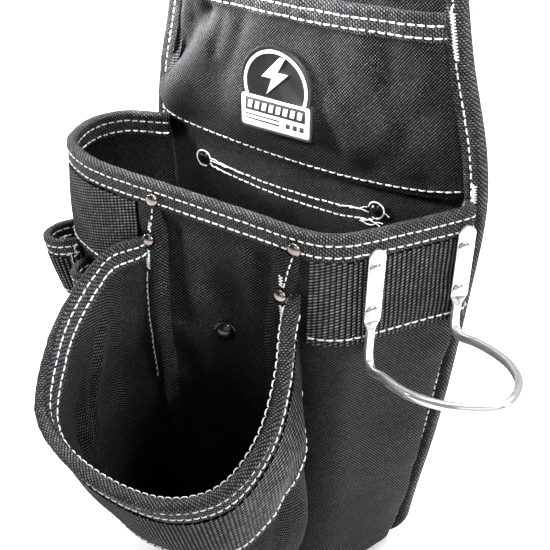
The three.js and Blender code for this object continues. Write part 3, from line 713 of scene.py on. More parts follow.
def woven(name, pitch, dark, light, slant, bump, sheen, rough, crisp=2.2):
    """Woven synthetic cloth: yarn floats with painted shade in their gaps and painted highlight on their
    crowns, yarn-to-yarn tone, soft wear and lint.

    pitch is one number for a plain weave, or a column's width and a float's length for a tape."""
    k = Look(name)
    u, v, _ = k.cloth()
    height, yarn = k.dashes(u, v, *pitch, slant) if isinstance(pitch, tuple) else k.checks(u, v, pitch)
    patch = k.noise(16.0, 3.0, 0.6)
    fibre = k.noise(900.0, 2.0, 0.7)
    # the weave's relief painted into the colour: near black in the gaps (painted shade) and light on the
    # crowns (painted highlight), over real yarn-to-yarn tone
    yarn_tone_and_shade = k.math("MULTIPLY", k.math("POWER", height, crisp), k.spread(yarn, 0, 1, 0.5, 1.2))
    yarn_tone_and_shade = k.math("MULTIPLY", yarn_tone_and_shade, k.spread(patch, 0.3, 0.7, 0.7, 1.2))
    yarn_tone_and_shade = k.math("MULTIPLY", yarn_tone_and_shade, k.spread(fibre, 0.3, 0.7, 0.8, 1.15), True)
    worn = k.spread(k.noise(55.0, 4.0, 0.65), 0.62, 0.85, 0.0, 0.12)
    k.set(base=k.mix(worn, k.mix(yarn_tone_and_shade, dark, light), light),
          rough=k.spread(height, 0, 1, rough + 0.3, rough), specular=k.spread(height, 0, 1, 0.0, 0.4),
          normal=k.bump(height, bump, 0.0005, k.bump(fibre, 0.25, 0.0002)),
          sheen=sheen, sheen_rough=0.4, sheen_tint=(0.8, 0.87, 0.95, 1))
    return k.mat


def thread_look():
    k = Look("bonded_thread")
    run, around, chance = k.cloth()
    ply_wave = k.math("ABSOLUTE", k.math("SINE", k.math("ADD", k.math("MULTIPLY", run, 4.6), around)))
    colour = k.mix(k.spread(ply_wave, 0, 0.5, 0.0, 1.0), (0.62, 0.60, 0.57), (0.96, 0.95, 0.92))
    colour = k.mix(k.spread(chance, 0, 1, 0.0, 0.3), colour, (0.72, 0.69, 0.64))
    k.set(base=colour, rough=0.5, normal=k.bump(ply_wave, 0.6, 0.0002), sheen=0.4, specular=0.5,
          glow=colour, glow_strength=0.14)  # painted glow: the thread gives off a little light of its own so it stays bright white even in shade
    return k.mat


def metal_look(name, low, high, rough, scratch=0.12, metal=1.0, coat=0.0):
    k = Look(name)
    cloud = k.noise(90.0, 3.0, 0.6)
    fine = k.noise(700.0, 4.0, 0.7)
    k.set(base=k.mix(k.spread(cloud, 0.3, 0.7), low, high), metal=metal,
          rough=k.spread(fine, 0.35, 0.75, rough * 0.6, rough * 1.8), coat=coat, coat_rough=0.1,
          normal=k.bump(fine, scratch, 0.0001, k.bump(cloud, scratch * 0.5, 0.0003)))
    return k.mat


def plastic_look(name, low, high, rough, grain, glow=0.0):
    k = Look(name)
    cloud = k.noise(60.0, 4.0, 0.6)
    fine = k.noise(1500.0, 2.0, 0.6)
    k.set(base=k.mix(k.spread(cloud, 0.3, 0.7), low, high), normal=k.bump(fine, grain, 0.0001),
          rough=k.spread(fine, 0.3, 0.7, rough, rough + 0.18), specular=0.45,
          glow=(*high, 1), glow_strength=glow)
    return k.mat


# each look comes with its material slot
NYLON = (woven("ballistic_nylon", 1.0, (0.0004, 0.0005, 0.0006), (0.170, 0.176, 0.186), 0.0, 0.9, 0.008,
               0.52, 3.2), "nylon")
LINING = (woven("coated_lining", 1.0, (0.0006, 0.0007, 0.0008), (0.020, 0.021, 0.023), 0.0, 0.4, 0.01,
                0.55), "lining")
GROSGRAIN = (woven("binding_tape", (1.5, 2.3), (0.0007, 0.0008, 0.001), (0.205, 0.210, 0.220), 0.25, 0.9,
                   0.012, 0.52, 2.8), "grosgrain")
RIBBED = (woven("ribbed_webbing", (RIB_PITCH, 2.0), (0.0004, 0.0005, 0.0006), (0.33, 0.337, 0.348), 0.8,
                0.9, 0.006, 0.5, 6.0), "webbing")
THREAD = (thread_look(), "thread")
CHROME = (metal_look("chrome_wire", (0.80, 0.81, 0.82), (0.93, 0.94, 0.95), 0.17, 0.006, 0.72), "chrome")
PLATED = (metal_look("plated_rivet", (0.42, 0.42, 0.43), (0.66, 0.67, 0.68), 0.2, 0.05, 0.9), "chrome")
NICKEL = (metal_look("antique_nickel", (0.17, 0.145, 0.13), (0.44, 0.39, 0.36), 0.17), "nickel")
ENAMEL = (metal_look("black_enamel", (0.010, 0.010, 0.011), (0.024, 0.024, 0.026), 0.25, 0.1, 0.4, 0.8),
          "black_metal")
RUBBER = (plastic_look("badge_rubber", (0.010, 0.010, 0.011), (0.022, 0.022, 0.023), 0.42, 0.35),
          "badge_rubber")
FIELD = (plastic_look("badge_field", (0.030, 0.031, 0.032), (0.045, 0.046, 0.047), 0.5, 0.4),
         "badge_rubber")
# the print glows a little: painted brightness that keeps it bright white in shade
PRINT = (plastic_look("badge_print", (0.84, 0.84, 0.83), (0.94, 0.94, 0.93), 0.45, 0.2, 0.05),
         "badge_print")
BOARD = plastic_look("panel_board", (0.03, 0.03, 0.03), (0.05, 0.05, 0.05), 0.7, 0.3)


# ---- back panel ------------------------------
def panel_cover(name, front, node):
    low, high = PANEL_BOTTOM + 1, PANEL_TOP - 1
    ease = 25 * np.linspace(0, 1, 12) ** 2
    zs = np.unique(np.concatenate([np.linspace(low, high, 150), low + ease, high - ease]))
    t, z = np.meshgrid(np.linspace(-1, 1, 90), zs)
    x = PANEL_X + t * outline_half(z, 1)
    inner = np.stack([x, bow(x) + (-1.3 if front else 1.3), z], -1)
    ply(name, panel_face(front)(x, z), inner, np.stack([x, z, 0 * x], -1), NYLON, [node], flip=front)


panel_cover("panel_cover_front", True, "panel_front_cover")
panel_cover("panel_cover_rear", False, "panel_rear_cover")


def outline_path():
    """The panel's outline as even points (x, z), anticlockwise from the middle of the bottom edge."""
    turn = np.linspace(0, np.pi / 2, 24)
    z = np.concatenate([PANEL_BOTTOM + PANEL_CORNER * (1 - np.cos(turn)),
                        np.linspace(PANEL_BOTTOM + PANEL_CORNER, PANEL_TOP - PANEL_CORNER, 160)[1:-1],
                        PANEL_TOP - PANEL_CORNER * (1 - np.sin(turn))])
    right = np.stack([outline_half(z, 0), z], -1)
    foot = [[0, PANEL_BOTTOM]]
    ring = np.concatenate([foot, right, right[::-1] * [-1, 1], foot])
    run = run_of(ring)
    return follow(np.linspace(0, run[-1], int(run[-1] / 2.5)), run, ring), run[-1]


OUTLINE, OUTLINE_LENGTH = outline_path()
EDGE_RUN = unit(np.gradient(OUTLINE, axis=0))
for _ in range(3):  # evens out the corners' turns
    EDGE_RUN[1:-1] = (EDGE_RUN[:-2] + EDGE_RUN[1:-1] + EDGE_RUN[2:]) / 3
EDGE_RUN = unit(EDGE_RUN)
EDGE_LIP, EDGE_SEAM, EDGE_FACE = 9.4, 4.8, 3.9


def edge_point(t, inward, y):
    """A point of the panel's binding: t along the outline, mm in from it, and y from the panel's middle."""
    at = np.clip(np.asarray(t, float), 0, 1) * (len(OUTLINE) - 1)
    steps = np.arange(len(OUTLINE))
    place, way = follow(at, steps, OUTLINE), follow(at, steps, EDGE_RUN)
    x = PANEL_X + place[..., 0] - way[..., 1] * inward
    return np.stack([x, bow(x) + y, place[..., 1] + way[..., 0] * inward], -1)


def over_pocket(z):
    """How far the binding stands out where it also holds the upper pocket's sides."""
    return 2.5 * smooth(-z, -115, -110) * smooth(z, -7, 0)


def edge_binding():
    def face(a):
        return (EDGE_FACE + 0.45 * (1 - math.exp(-((a - EDGE_SEAM) / 1.3) ** 2)) * (1 - (a / EDGE_LIP) ** 6)
                - 0.15)

    down = np.linspace(EDGE_LIP, 0.6, 15)
    arc = np.linspace(0, np.pi, 12)[1:-1]
    section = [(a, -face(a)) for a in down]
    section += [(0.5 - 2.3 * math.sin(t), -(EDGE_FACE + 0.2) * math.cos(t)) for t in arc]
    section += [(a, face(a)) for a in down[::-1]]
    section += [(EDGE_LIP + 0.05, 2.5), (5, 2.5), (1.4, 2.5), (0.6, 0), (1.4, -2.5), (5, -2.5),
                (EDGE_LIP + 0.05, -2.5)]
    section = np.array(section)
    ts = np.linspace(0, 1, len(OUTLINE))
    middle = edge_point(ts, 0.0, 0.0)
    a, y = section.T
    a = a + 0.35 * rumple(middle, 34, 51)[:, None] * smooth(a, 3, EDGE_LIP)
    y = y + 0.18 * rumple(middle, 8, 52)[:, None] * np.sign(y) * (np.abs(y) > 3)
    y = y - over_pocket(middle[:, 2])[:, None] * smooth(-y, -1.0, 2.4)
    v = edge_point(ts[:, None], a, y)
    publish("panel_binding", v.reshape(-1, 3), tube_faces(len(ts), len(section)), GROSGRAIN,
            ["panel_edge_binding"], grid_map(np.linspace(0, OUTLINE_LENGTH, len(ts)), run_of(section)), 60)


def edge_path(side, inward=EDGE_SEAM, start=0.0, end=1.0):
    ts = np.linspace(start, end, 900)
    lift = over_pocket(edge_point(ts, inward, 0.0)[:, 2]) if side < 0 else 0.0
    return facing(edge_point(ts, inward, side * (3.75 + lift)), side)


def binding_tack(low_z, high_z, inward, width, pitch, seed):
    """A bartack along the right-hand binding between two heights."""
    ts = np.linspace(0, 0.5, 3000)
    z = edge_point(ts, inward, 0.0)[:, 2]
    near = ts[(z > low_z) & (z < high_z)]
    p, n = edge_path(-1, inward, near.min(), near.max())
    return zigzag((p[::8] + n[::8] * 0.3, n[::8]), width, pitch, 0.36, seed)


def panel_line(points, lift=0.05):
    """A path on the panel's front face through (x, z) points."""
    p = catmull(points, np.linspace(0, 1, 160))
    return facing(panel_front(p[:, 0], p[:, 1]) - [0, lift, 0], -1)


edge_binding()
seam("seam_panel_front", [edge_path(-1)], 2)
seam("seam_panel_rear", [edge_path(1)], 3)
thread("bartack_panel_right", [binding_tack(84, 111, 4.2, 3.6, 1.75, 31),
                               binding_tack(1.5, 13, 3.2, 3.4, 1.5, 32)])
tunnel_rows = ([(-69, -23.6), (-40, -25.4), (-10, -26.2), (25, -25.6), (47, -23.4)],
               [(-70, -28.6), (-40, -30.6), (-8, -32.0), (30, -32.0), (56, -28.6)])
seam("seam_tunnel_inside", [panel_line(points) for points in tunnel_rows], 4, 5.0, 4.2)

# ---- upper pocket ----------------------------
UPPER_HALF = half_width(0.0) - UPPER_TUCK


def upper_rows(u, t):
    """Turns a share of the pocket's height into the distance below its mouth, down to its curved foot."""
    return t * (UPPER_MOUTH - (seam_height(PANEL_X + u * UPPER_HALF) - 4.2))


sheet("upper_pocket_wall", upper_wall, np.linspace(-0.995, 0.995, 120), np.linspace(0, 1, 70), -CLOTH, 0,
      NYLON, ["upper_pocket"], upper_rows)
tape("upper_pocket_binding", upper_wall, np.linspace(-0.985, 0.985, 130), HEM_LIP, CLOTH,
     "upper_pocket_hem", HEM_SEAMS, 61)
us = np.linspace(-0.97, 0.97, 500)
seam("seam_hem", [on_surface(upper_wall, us, a, ON_TAPE) for a in HEM_SEAMS], 5)
foot_a = UPPER_MOUTH - seam_height(PANEL_X + us * UPPER_HALF)
seam("seam_upper_foot", [on_surface(upper_wall, us, foot_a, 0.15)], 6)

# ---- main pocket -----------------------------
main_rows = np.concatenate([np.linspace(0, 250, 72), 250 + 18 * np.linspace(0, 1, 12)[1:]])
sheet("main_pocket_shell", main_wall, spread_us(main_shell, 0.0, 1.0, CLOTH_STEP, 60.0), main_rows,
      -CLOTH, 0, NYLON, ["main_pocket_wall"])
tape("main_rim_tape", main_wall, spread_us(main_shell, 0.001, 0.999, TAPE_STEP), RIM_LIP, CLOTH,
     "main_rim_binding", RIM_SEAMS, 71, 0.5)
us = spread_us(main_shell, 0.003, 0.997, STITCH_STEP)
seam("seam_rim_outer", [on_surface(main_wall, us, a, ON_TAPE) for a in RIM_SEAMS], 7)
seam("seam_rim_inner", [inside(main_wall, us, a, -CLOTH - ON_TAPE) for a in RIM_SEAMS], 8)
thread("bartack_rim_right", [zigzag(on_surface(main_wall, np.full(40, 0.996), np.linspace(-2, 20, 40), 2.7),
                                    4.6, 2.4, 0.42, 33)])

for name, start, end in (("left", 0.01, wall_u(-62, 41)), ("right", wall_u(63, 41), 0.99)):
    span = spread_us(main_shell, start, end, RIB_STEP, BAND_MIDDLE)
    webbing(f"band_{name}", main_wall, span, BAND_MIDDLE, np.linspace(BAND_TOP, BAND_BOTTOM, 26), GAP,
            f"webbing_band_{name}")
    us = spread_us(main_shell, start + 0.002, end - 0.002, STITCH_STEP, BAND_MIDDLE)
    seam(f"seam_band_{name}", [on_surface(main_wall, us, BAND_SEAM, ON_BAND)], 9)

FLOOR_EDGE, FLOOR_INSET, FLOOR_DISH, FLOOR_THICK = 266.4, 3.4, 1.4, 2.0
floor_us = np.linspace(0.012, 0.988, 90)
ring = main_wall(floor_us, 266.0) - normals(main_wall, floor_us, np.full(90, 250.0)) * FLOOR_INSET
levels = np.linspace(1, 0, 16)[:, None]
disc = ring.mean(0) + (ring - ring.mean(0)) * levels[..., None]
disc[..., 2] = -FLOOR_EDGE - SAG - FLOOR_DISH * (1 - levels ** 2) + 0.4 * rumple(disc, 40, 81)
ply("main_floor", disc, disc - [0, 0, FLOOR_THICK], disc * [1, 1, 0], LINING, ["main_pocket_floor"], True,
    True)


def front_line(points, lift):
    """A path on the main pocket's front through (x, a) points."""
    p = catmull(points, np.linspace(0, 1, 200))
    return on_surface(main_wall, np.array([wall_u(x, a) for x, a in p]), p[:, 1], lift)


# each corner of the front pocket: a folded edge of the main pocket's front runs down beside its seam
TABS = {
    "left": dict(edge=[(-60, 12), (-60, 28), (-57, 36), (-53.4, 44), (-53, 100), (-50, 180), (-46, 252)],
                 crest=[(-43, 12), (-42.5, 40), (-41.5, 100), (-39.5, 180), (-36, 252)],
                 upper=(-48, 9), lower=(-52, 37), line=[(-48.5, 14), (-50, 24), (-51.5, 33)],
                 tail=[(-54.4, 60), (-54.8, 95), (-53.4, 142)]),
    "right": dict(edge=[(58, 12), (57.5, 28), (54, 36), (48.4, 46), (47.4, 100), (45, 180), (41, 252)],
                  crest=[(40, 12), (38.5, 40), (36.5, 100), (35, 180), (33, 252)],
                  upper=(55, 9.5), lower=(47, 42), line=[(54.3, 14.5), (51, 26), (48.2, 37)],
                  tail=[(49.2, 64), (48.6, 100), (46.4, 150), (43.4, 205), (41, 250)]),
}
ON_TAB, ON_TAIL = GAP + CLOTH + 0.15, 3.9


def edge_table(points):
    xs, downs = np.array(points, float).T
    at = np.linspace(downs[0], downs[-1], 60)
    x = np.interp(at, downs, xs)
    x[1:-1] = (x[:-2] + 2 * x[1:-1] + x[2:]) / 4
    return at, np.array([wall_u(*place) for place in zip(x, at)])


def fold_surface(tab, mirrored):
    """A corner tab and the fold below it, t running across from its edge to its crest."""
    at, low_u = edge_table(tab["edge"])
    _, high_u = edge_table(tab["crest"])

    def surface(t, a):
        t, a = matched(1 - t if mirrored else t, a)
        u = np.interp(a, at, low_u) * (1 - t) + np.interp(a, at, high_u) * t
        height = 0.9 + 3.6 * smooth(a, 34, 64) * (1 - smooth(a, 190, 252))
        arch = np.clip(np.sin(np.pi * np.clip(t, 0, 1) ** 1.25), 0, 1) ** 0.7
        p, n = on_surface(main_wall, u, a, 0)
        return p + n * (height * arch + 0.5 * rumple(p, 20, 93) * arch * smooth(a, 14, 40))[..., None]
    return surface


for side, tab in TABS.items():
    out = -1 if side == "left" else 1
    sheet(f"tab_{side}", fold_surface(tab, out > 0), np.linspace(0, 1, 22), np.linspace(12.6, 250, 90), GAP,
          GAP + 1.9, NYLON, [f"corner_tab_{side}"])
    seam(f"seam_tab_{side}", [front_line(tab["line"], ON_TAB)], 12, 4.6, 3.8, 0.46)
    seam(f"seam_front_{side}", [front_line(tab["tail"], ON_TAIL)], 13, 4.2, 3.3, 0.42)
    x, a = tab["lower"]
    above = front_line([(x - out * 0.8, a - 13), (x - out * 0.2, a - 5.5)], ON_TAB + 0.1)
    below = front_line([(x + out * 0.6, a + 6), (x + out * 1.4, a + 21)], ON_TAIL)
    thread(f"bartack_{side}", [zigzag(above, 3.2, 1.8, 0.36, 14), zigzag(below, 3.4, 1.8, 0.4, 15)])


# ---- turned metal ----------------------------
def turned(name, profile, origin, axis, look, node, sides=40):
    """A lathe-turned piece: profile is (radius, height) from the tip of its cap to the tip of its tail."""
    profile = np.array(profile, float)
    w = unit(np.asarray(axis, float))
    a = unit(np.cross(w, [0, 0, 1.0] if abs(w[2]) < 0.9 else [1.0, 0, 0]))
    b = np.cross(w, a)
    theta = round_angles(sides)[:, None]
    tips = np.asarray(origin) + profile[:, 1, None, None] * w
    rings = tips[1:-1] + profile[1:-1, 0, None, None] * (np.cos(theta) * a + np.sin(theta) * b)
    verts = np.concatenate([tips[0], rings.reshape(-1, 3), tips[-1]])
    faces = (quads(len(rings), sides, False, True) + 1).tolist()
    faces += [[0, 1 + (i + 1) % sides, 1 + i] for i in range(sides)]
    last = 1 + (len(rings) - 1) * sides
    faces += [[len(verts) - 1, last + i, last + (i + 1) % sides] for i in range(sides)]
    publish(name, verts, faces, look, [node], angle=35)


def dome_profile(stack):
    """A domed rivet through a stack of cloth: cap, shank and the flange clenched behind it."""
    cap_r, cap_h, shank, flange = 4.5, 3.3, 1.7, 4.2
    quarter = np.linspace(0, np.pi / 2, 12)
    dome = [(cap_r * math.sin(t), cap_h * (0.22 + 0.78 * math.cos(t))) for t in quarter]
    return dome + [(cap_r, 0.12 * cap_h), (cap_r * 0.96, 0), (shank, 0), (shank, -stack),
                   (flange * 0.95, -stack), (flange, -stack - 0.4), (flange * 0.85, -stack - 1),
                   (shank * 0.8, -stack - 0.9), (shank * 0.5, -stack - 0.5), (0, -stack - 0.5)]


for side, tab in TABS.items():
    for level, cap, back in (("upper", 2 * GAP + TAPE + 0.5, CLOTH + 2 * GAP + TAPE),
                             ("lower", 2 * GAP + CLOTH + 0.6, CLOTH + GAP)):
        x, a = tab[level]
        p, n = on_surface(main_wall, wall_u(x, a), a, cap + 0.1)
        name = f"rivet_{level}_{side}"
        turned(f"{name}_dome", dome_profile(cap + back + 0.4), p, n, NICKEL, name)

p, n = on_surface(main_wall, wall_u(-1.5, 90.5), 90.5, 0.4)
snap = [(0, 4.3), (1.8, 4.15), (3.4, 3.7), (4.8, 2.9), (5.8, 1.9), (6.4, 1.1), (7.1, 0.9), (7.3, 0.5),
        (7.1, 0.05), (2, 0), (2, -3.4), (5.3, -3.4), (5.5, -4.0), (5.0, -4.6), (2.6, -4.6), (2.2, -4.1),
        (0, -4.1)]
turned("front_snap", snap, p, n, ENAMEL, "front_snap_rivet")

stack = 2 * COVER_FACE + TUNNEL_THICK + 2.6
stud = [(0, 2.6), (1.5, 2.5), (3.0, 1.9), (3.6, 1.2), (4.6, 1.0), (4.9, 0.6), (4.7, 0.05), (1.7, 0),
        (1.7, -stack), (4.2, -stack), (4.5, -stack - 0.5), (4.0, -stack - 1.2), (1.2, -stack - 1.6),
        (0, -stack - 1.7)]
windings = []  # thread wound round the tunnel's studs
for side, (x, z) in STUDS.items():
    q = panel_front(x, z)
    turned(f"tunnel_stud_{side}", stud, q - [0, 0.3, 0], [0, -1, 0], ENAMEL, f"tunnel_rivet_{side}")
    for k in range(2):
        t = np.linspace(0.1 + k * 0.5, 4.7 + k * 0.5, 60)
        r = 5.3 + 0.35 * k + 0.2 * np.sin(3 * t)
        lean = r * np.cos(t) * (1 if side == "left" else -1)
        turn = np.stack([lean, 0 * t - 0.55 - 0.2 * k, r * np.sin(t)], -1)
        windings.append(strand(q + turn, [0, -1.0, 0], 0.42))
tails = [[(-74, -22), (-68, -22.5), (-60, -23.8), (-48, -25)], [(-73.5, -23.4), (-66, -24.4), (-57, -24.6)],
         [(-74, -26.5), (-66, -28.4), (-58, -29.4)], [(30, -25.2), (41, -23.6), (51, -21.6)],
         [(38, -24.8), (46, -23.8), (52, -24.5)], [(44, -30.6), (52, -30), (62, -29.8)],
         [(46, -31.6), (54, -32.2), (60, -31.6)], [(62, -22.5), (66, -23.5)], [(-84, -26), (-82, -29)]]
for k, points in enumerate(tails):
    p, n = panel_line(points, 0.45)
    windings.append(strand(p + 0.35 * rumple(p, 5, 200 + k)[:, None] * [0, 0, 1], n, 0.42))
thread("thread_tunnel_tails", windings)


# ---- front pocket ----------------------------
def front_rows(u, t):
    return t * 0.985 * front_reach(u)


sheet("front_pocket_shell", front_wall, spread_us(front_mm, 0.004, 0.996, 3.0, 20.0), np.linspace(0, 1, 80),
      -CLOTH, 0, NYLON, ["front_pocket_wall"], front_rows)
tape("front_rim_tape", front_wall, spread_us(front_mm, 0.004, 0.996, TAPE_STEP), FRONT_LIP, CLOTH + 0.5,
     "front_rim_binding", FRONT_SEAMS, 101, 1.2)
us = spread_us(front_mm, 0.006, 0.994, STITCH_STEP, 4.0)
seam("seam_front_outer", [on_surface(front_wall, us, a, 1.5) for a in FRONT_SEAMS], 16)
rows_in = []
for a, roll_over in zip(FRONT_SEAMS, (1.0, 0.0)):
    over = roll_over * smooth(us, 0.33, 0.5)  # in front the inner row shows on the roll's inner edge
    p, n = inside(front_wall, us, a * (1 - 0.93 * over), -CLOTH - 2.0)
    rows_in.append((p + n * (1.65 * over)[:, None], n))
seam("seam_front_inner", rows_in, 17)
webbing("front_band", front_wall, spread_us(front_mm, 0.03, 0.97, RIB_STEP, FRONT_BAND_MIDDLE),
        FRONT_BAND_MIDDLE, np.linspace(FRONT_BAND_TOP, FRONT_BAND_BOTTOM, 20), 2 * GAP,
        "front_webbing_band")
us = spread_us(front_mm, 0.034, 0.966, STITCH_STEP, FRONT_BAND_MIDDLE)
seam("seam_front_band", [on_surface(front_wall, us, FRONT_BAND_SEAM, GAP + ON_BAND)], 18)

# ---- tool sleeves ----------------------------
fine = np.linspace(0.04, 0.96, 300)
for k, (name, s) in enumerate(SLEEVES.items()):
    tube = sleeve_wall(s, 110 + k)
    sheet(f"sleeve_{name}", tube, np.linspace(0.004, 0.996, 56), np.linspace(0, s["bottom"] - s["top"], 40),
          -SLEEVE_CLOTH, 0, NYLON, [f"tool_sleeve_{name}"])
    tape(f"sleeve_{name}_tape", tube, np.linspace(0.03, 0.97, 60), SLEEVE_LIP, SLEEVE_CLOTH,
         f"tool_sleeve_{name}_binding", SLEEVE_SEAMS, 120 + k)
    webbing(f"sleeve_{name}_collar", tube, spread_us(tube, 0.03, 0.97, RIB_STEP, COLLAR_MIDDLE),
            COLLAR_MIDDLE, np.linspace(COLLAR_TOP, COLLAR_BOTTOM, 14), GAP, f"tool_sleeve_{name}_webbing")
    rows = [on_surface(tube, fine, a, 1.4) for a in SLEEVE_SEAMS]
    rows.append(on_surface(tube, fine, COLLAR_SEAM, ON_BAND))
    rows += [inside(tube, fine, a, -SLEEVE_CLOTH - 1.4) for a in SLEEVE_SEAMS]
    seam(f"seam_sleeve_{name}", rows, 19 + k, 5.0, 4.3, 0.48)

# frayed thread where the two sleeves meet
rng = np.random.default_rng(77)
frays = []
for _ in range(16):
    start, _ = on_surface(main_wall, rng.uniform(0.235, 0.275), rng.uniform(70, 104), rng.uniform(4, 10))
    steps = rng.normal(0, 0.8, (9, 3)) + np.array([0.1, 0.0, rng.uniform(-1.6, 0.6)])
    path = catmull(start + np.cumsum(steps * 1.1, 0), np.linspace(0, 1, 50))
    frays.append(strand(path, [0.3, -0.8, 0.5], rng.uniform(0.2, 0.34), 6))
thread("thread_sleeve_tails", frays)

# ---- hammer loop -----------------------------
WIRE, TAB_W, TAB_L, TAB_T, LOOP_TOP = 2.9, 11.0, 49.0, 2.4, 11.0
LOOP_LEG = [(0, 46, 0), (0, 56, 0), (0, 63.5, 1.2), (0.6, 67, 6)]
LOOP_BOW = [(2, 20), (3.5, 38), (1, 58), (-9, 78)]
LOOP_REACH, LOOP_TILT = 91.0, 0.2
LOOP_DROP = 8.0  # the front leg reaches this much lower than the rear one


def loop_frame():
    """The loop's place on the wall: its origin, directions and the width between its legs."""
    legs = [wall_u(x, LOOP_TOP, plain_shell) for x in (90, 119)]
    tops = [plain_shell(u, LOOP_TOP) for u in legs]
    ends = [plain_shell(u, LOOP_TOP + TAB_L) for u in legs]
    down = unit(ends[0] - tops[0] + ends[1] - tops[1])
    across = tops[1] - tops[0]
    outward = unit(np.cross(down, across))
    origin = (tops[0] + tops[1]) / 2 + outward * (GAP + WEBBING + 1 + WIRE)
    return origin, unit(np.cross(down, outward)), down, outward, np.linalg.norm(across)


L_ORIGIN, L_FORWARD, L_DOWN, L_OUT, L_GAP = loop_frame()


def to_loop(p):
    p = np.asarray(p, float)
    return L_ORIGIN + p[..., :1] * L_FORWARD + p[..., 1:2] * L_DOWN + p[..., 2:3] * L_OUT


def loop_leg(side, drop, rise):
    """One leg of the wire from its upper end to the bow's tip, in the loop's own directions."""
    half = side * L_GAP / 2
    leg = [(half, d, 0) for d in np.linspace(-rise, 40, 9)]
    leg += [(half + side * s, d + drop, o) for s, d, o in LOOP_LEG]
    return leg + [(half + side * s, LOOP_LEG[-1][1] + drop * (1 - w / LOOP_REACH) - w * math.sin(LOOP_TILT),
                   w * math.cos(LOOP_TILT)) for s, w in LOOP_BOW]


def loop_wire():
    """One wire: flattened and rounded at both ends, bent out into a bow."""
    tip = (0, LOOP_LEG[-1][1] - LOOP_REACH * math.sin(LOOP_TILT), LOOP_REACH * math.cos(LOOP_TILT))
    line = centripetal(loop_leg(1, LOOP_DROP, 3.0) + [tip] + loop_leg(-1, 0.0, 5.0)[::-1], 14)
    keep = np.concatenate([[True], np.linalg.norm(np.diff(line, axis=0), axis=-1) > 1e-6])
    line = line[keep]
    run = run_of(line)
    total = run[-1]
    rounding = TAB_W / 2 * (1 - np.cos(np.linspace(0.05, np.pi / 2, 12)))
    near = np.concatenate([rounding, np.linspace(6, 70, 60)])
    at = np.concatenate([near, np.linspace(71, total - 71, 150), (total - near)[::-1]])
    even = np.linspace(0, total, int(total / 0.5))
    bent = follow(even, run, line)
    for _ in range(36):  # a wire bends round a radius, never at a point
        bent[1:-1] = (bent[:-2] + 2 * bent[1:-1] + bent[2:]) / 4
    q = follow(at, even, bent)
    d = np.minimum(at, total - at)
    # the section's flat side keeps facing away from the wall on the legs
    axis_s, axis_o = np.zeros_like(q), np.zeros_like(q)
    prev = np.array([0, 0, 1.0])
    for i, tangent in enumerate(unit(np.gradient(q, axis=0))):
        prev = unit(prev - tangent * (prev @ tangent))
        axis_o[i] = prev
        axis_s[i] = np.cross(prev, tangent)
    flat = 1 - smooth(d, TAB_L - 2, TAB_L + 3)
    cap = np.where(d < TAB_W / 2, np.sqrt(np.maximum(1 - (1 - d / (TAB_W / 2)) ** 2, 0.0)), 1.0)
    wide = (WIRE + (TAB_W / 2 - WIRE) * flat) * np.maximum(cap, 0.08)
    thick = WIRE + (TAB_T / 2 - WIRE) * flat
    sink = flat * (WIRE - TAB_T / 2)
    sides = 28
    theta = round_angles(sides)
    power = 1 - 0.55 * flat[:, None]
    c = np.sign(np.cos(theta)) * np.abs(np.cos(theta)) ** power
    s = np.sign(np.sin(theta)) * np.abs(np.sin(theta)) ** power
    back = np.where(axis_s[:, :1] > 0, -1.0, 1.0)  # the flattened ends spread towards the back of the pouch
    v = (q - axis_o * sink[:, None] + axis_s * back * (1.6 * flat)[:, None])[:, None]
    v = (v + axis_s[:, None] * (wide[:, None] * c)[..., None]
         + axis_o[:, None] * (thick[:, None] * s)[..., None])
    publish("hammer_loop_wire", to_loop(v).reshape(-1, 3), tube_faces(len(at), sides, True), CHROME,
            ["hammer_loop"], angle=48)


loop_wire()
loop_stud = [(0, 1.5), (2.0, 1.42), (3.2, 1.1), (3.9, 0.6), (4.1, 0.25), (4.0, 0.0), (1.7, 0.0),
             (1.7, -8.4), (4.2, -8.4), (4.4, -8.9), (3.8, -9.4), (0, -9.5)]
for leg, sign in (("front", 1), ("rear", -1)):
    for i, along in enumerate((9, 38)):
        origin = to_loop([sign * L_GAP / 2, along, TAB_T - WIRE + 0.05])
        turned(f"loop_{leg}_stud_{i + 1}", loop_stud, origin, L_OUT, PLATED,
               f"hammer_loop_rivet_{leg}_{i + 1}", 32)

# ---- badge -----------------------------------
badge_y = float(upper_shell(0.0, UPPER_MOUTH - BADGE_Z)[1]) - 0.1


def bar_reach(angle, w, h, r):
    """Distance from the badge's hub to the edge of its rounded bar along each direction."""
    steps = np.linspace(0, 45, 900)
    far = []
    for a in angle:
        x, z = steps * math.cos(a), BADGE_HUB + steps * math.sin(a) - BAR_Z
        dx, dz = np.abs(x) - (w / 2 - r), np.abs(z) - (h / 2 - r)
        inside_bar = np.hypot(np.maximum(dx, 0), np.maximum(dz, 0)) + np.minimum(np.maximum(dx, dz), 0) <= r
        far.append(steps[inside_bar].max() if inside_bar.any() else 0)
    return np.array(far)


def badge_outline(inset):
    angle = np.linspace(0, 2 * np.pi, 220, endpoint=False)
    rise, r = BADGE_Z - BADGE_HUB, BADGE_R - inset
    disc_reach = rise * np.sin(angle) + np.sqrt(np.maximum(r * r - (rise * np.cos(angle)) ** 2, 0))
    far = np.maximum(disc_reach, bar_reach(angle, 54 - 2 * inset, 24 - 2 * inset, max(3 - inset, 0.6)))
    return np.stack([far * np.cos(angle), BADGE_HUB + far * np.sin(angle)], -1)


def moulded(name, layers, look, replaces=(), band=False, curve=BADGE_CURVE, angle=40):
    """A moulded plate from closed outlines (points, height over the cloth), or a band closed on itself."""
    n = len(layers[0][0])
    v = np.concatenate([np.stack([BADGE_X + p[:, 0], np.full(n, badge_y - height), p[:, 1]], -1)
                        for p, height in layers])
    v[:, 1] += curve * ((v[:, 0] - BADGE_X) / 27) ** 2  # it follows the pocket's curve
    faces = quads(len(layers), n, True, True) if band else tube_faces(len(layers), n)
    publish(name, v, faces, look, replaces, angle=angle)


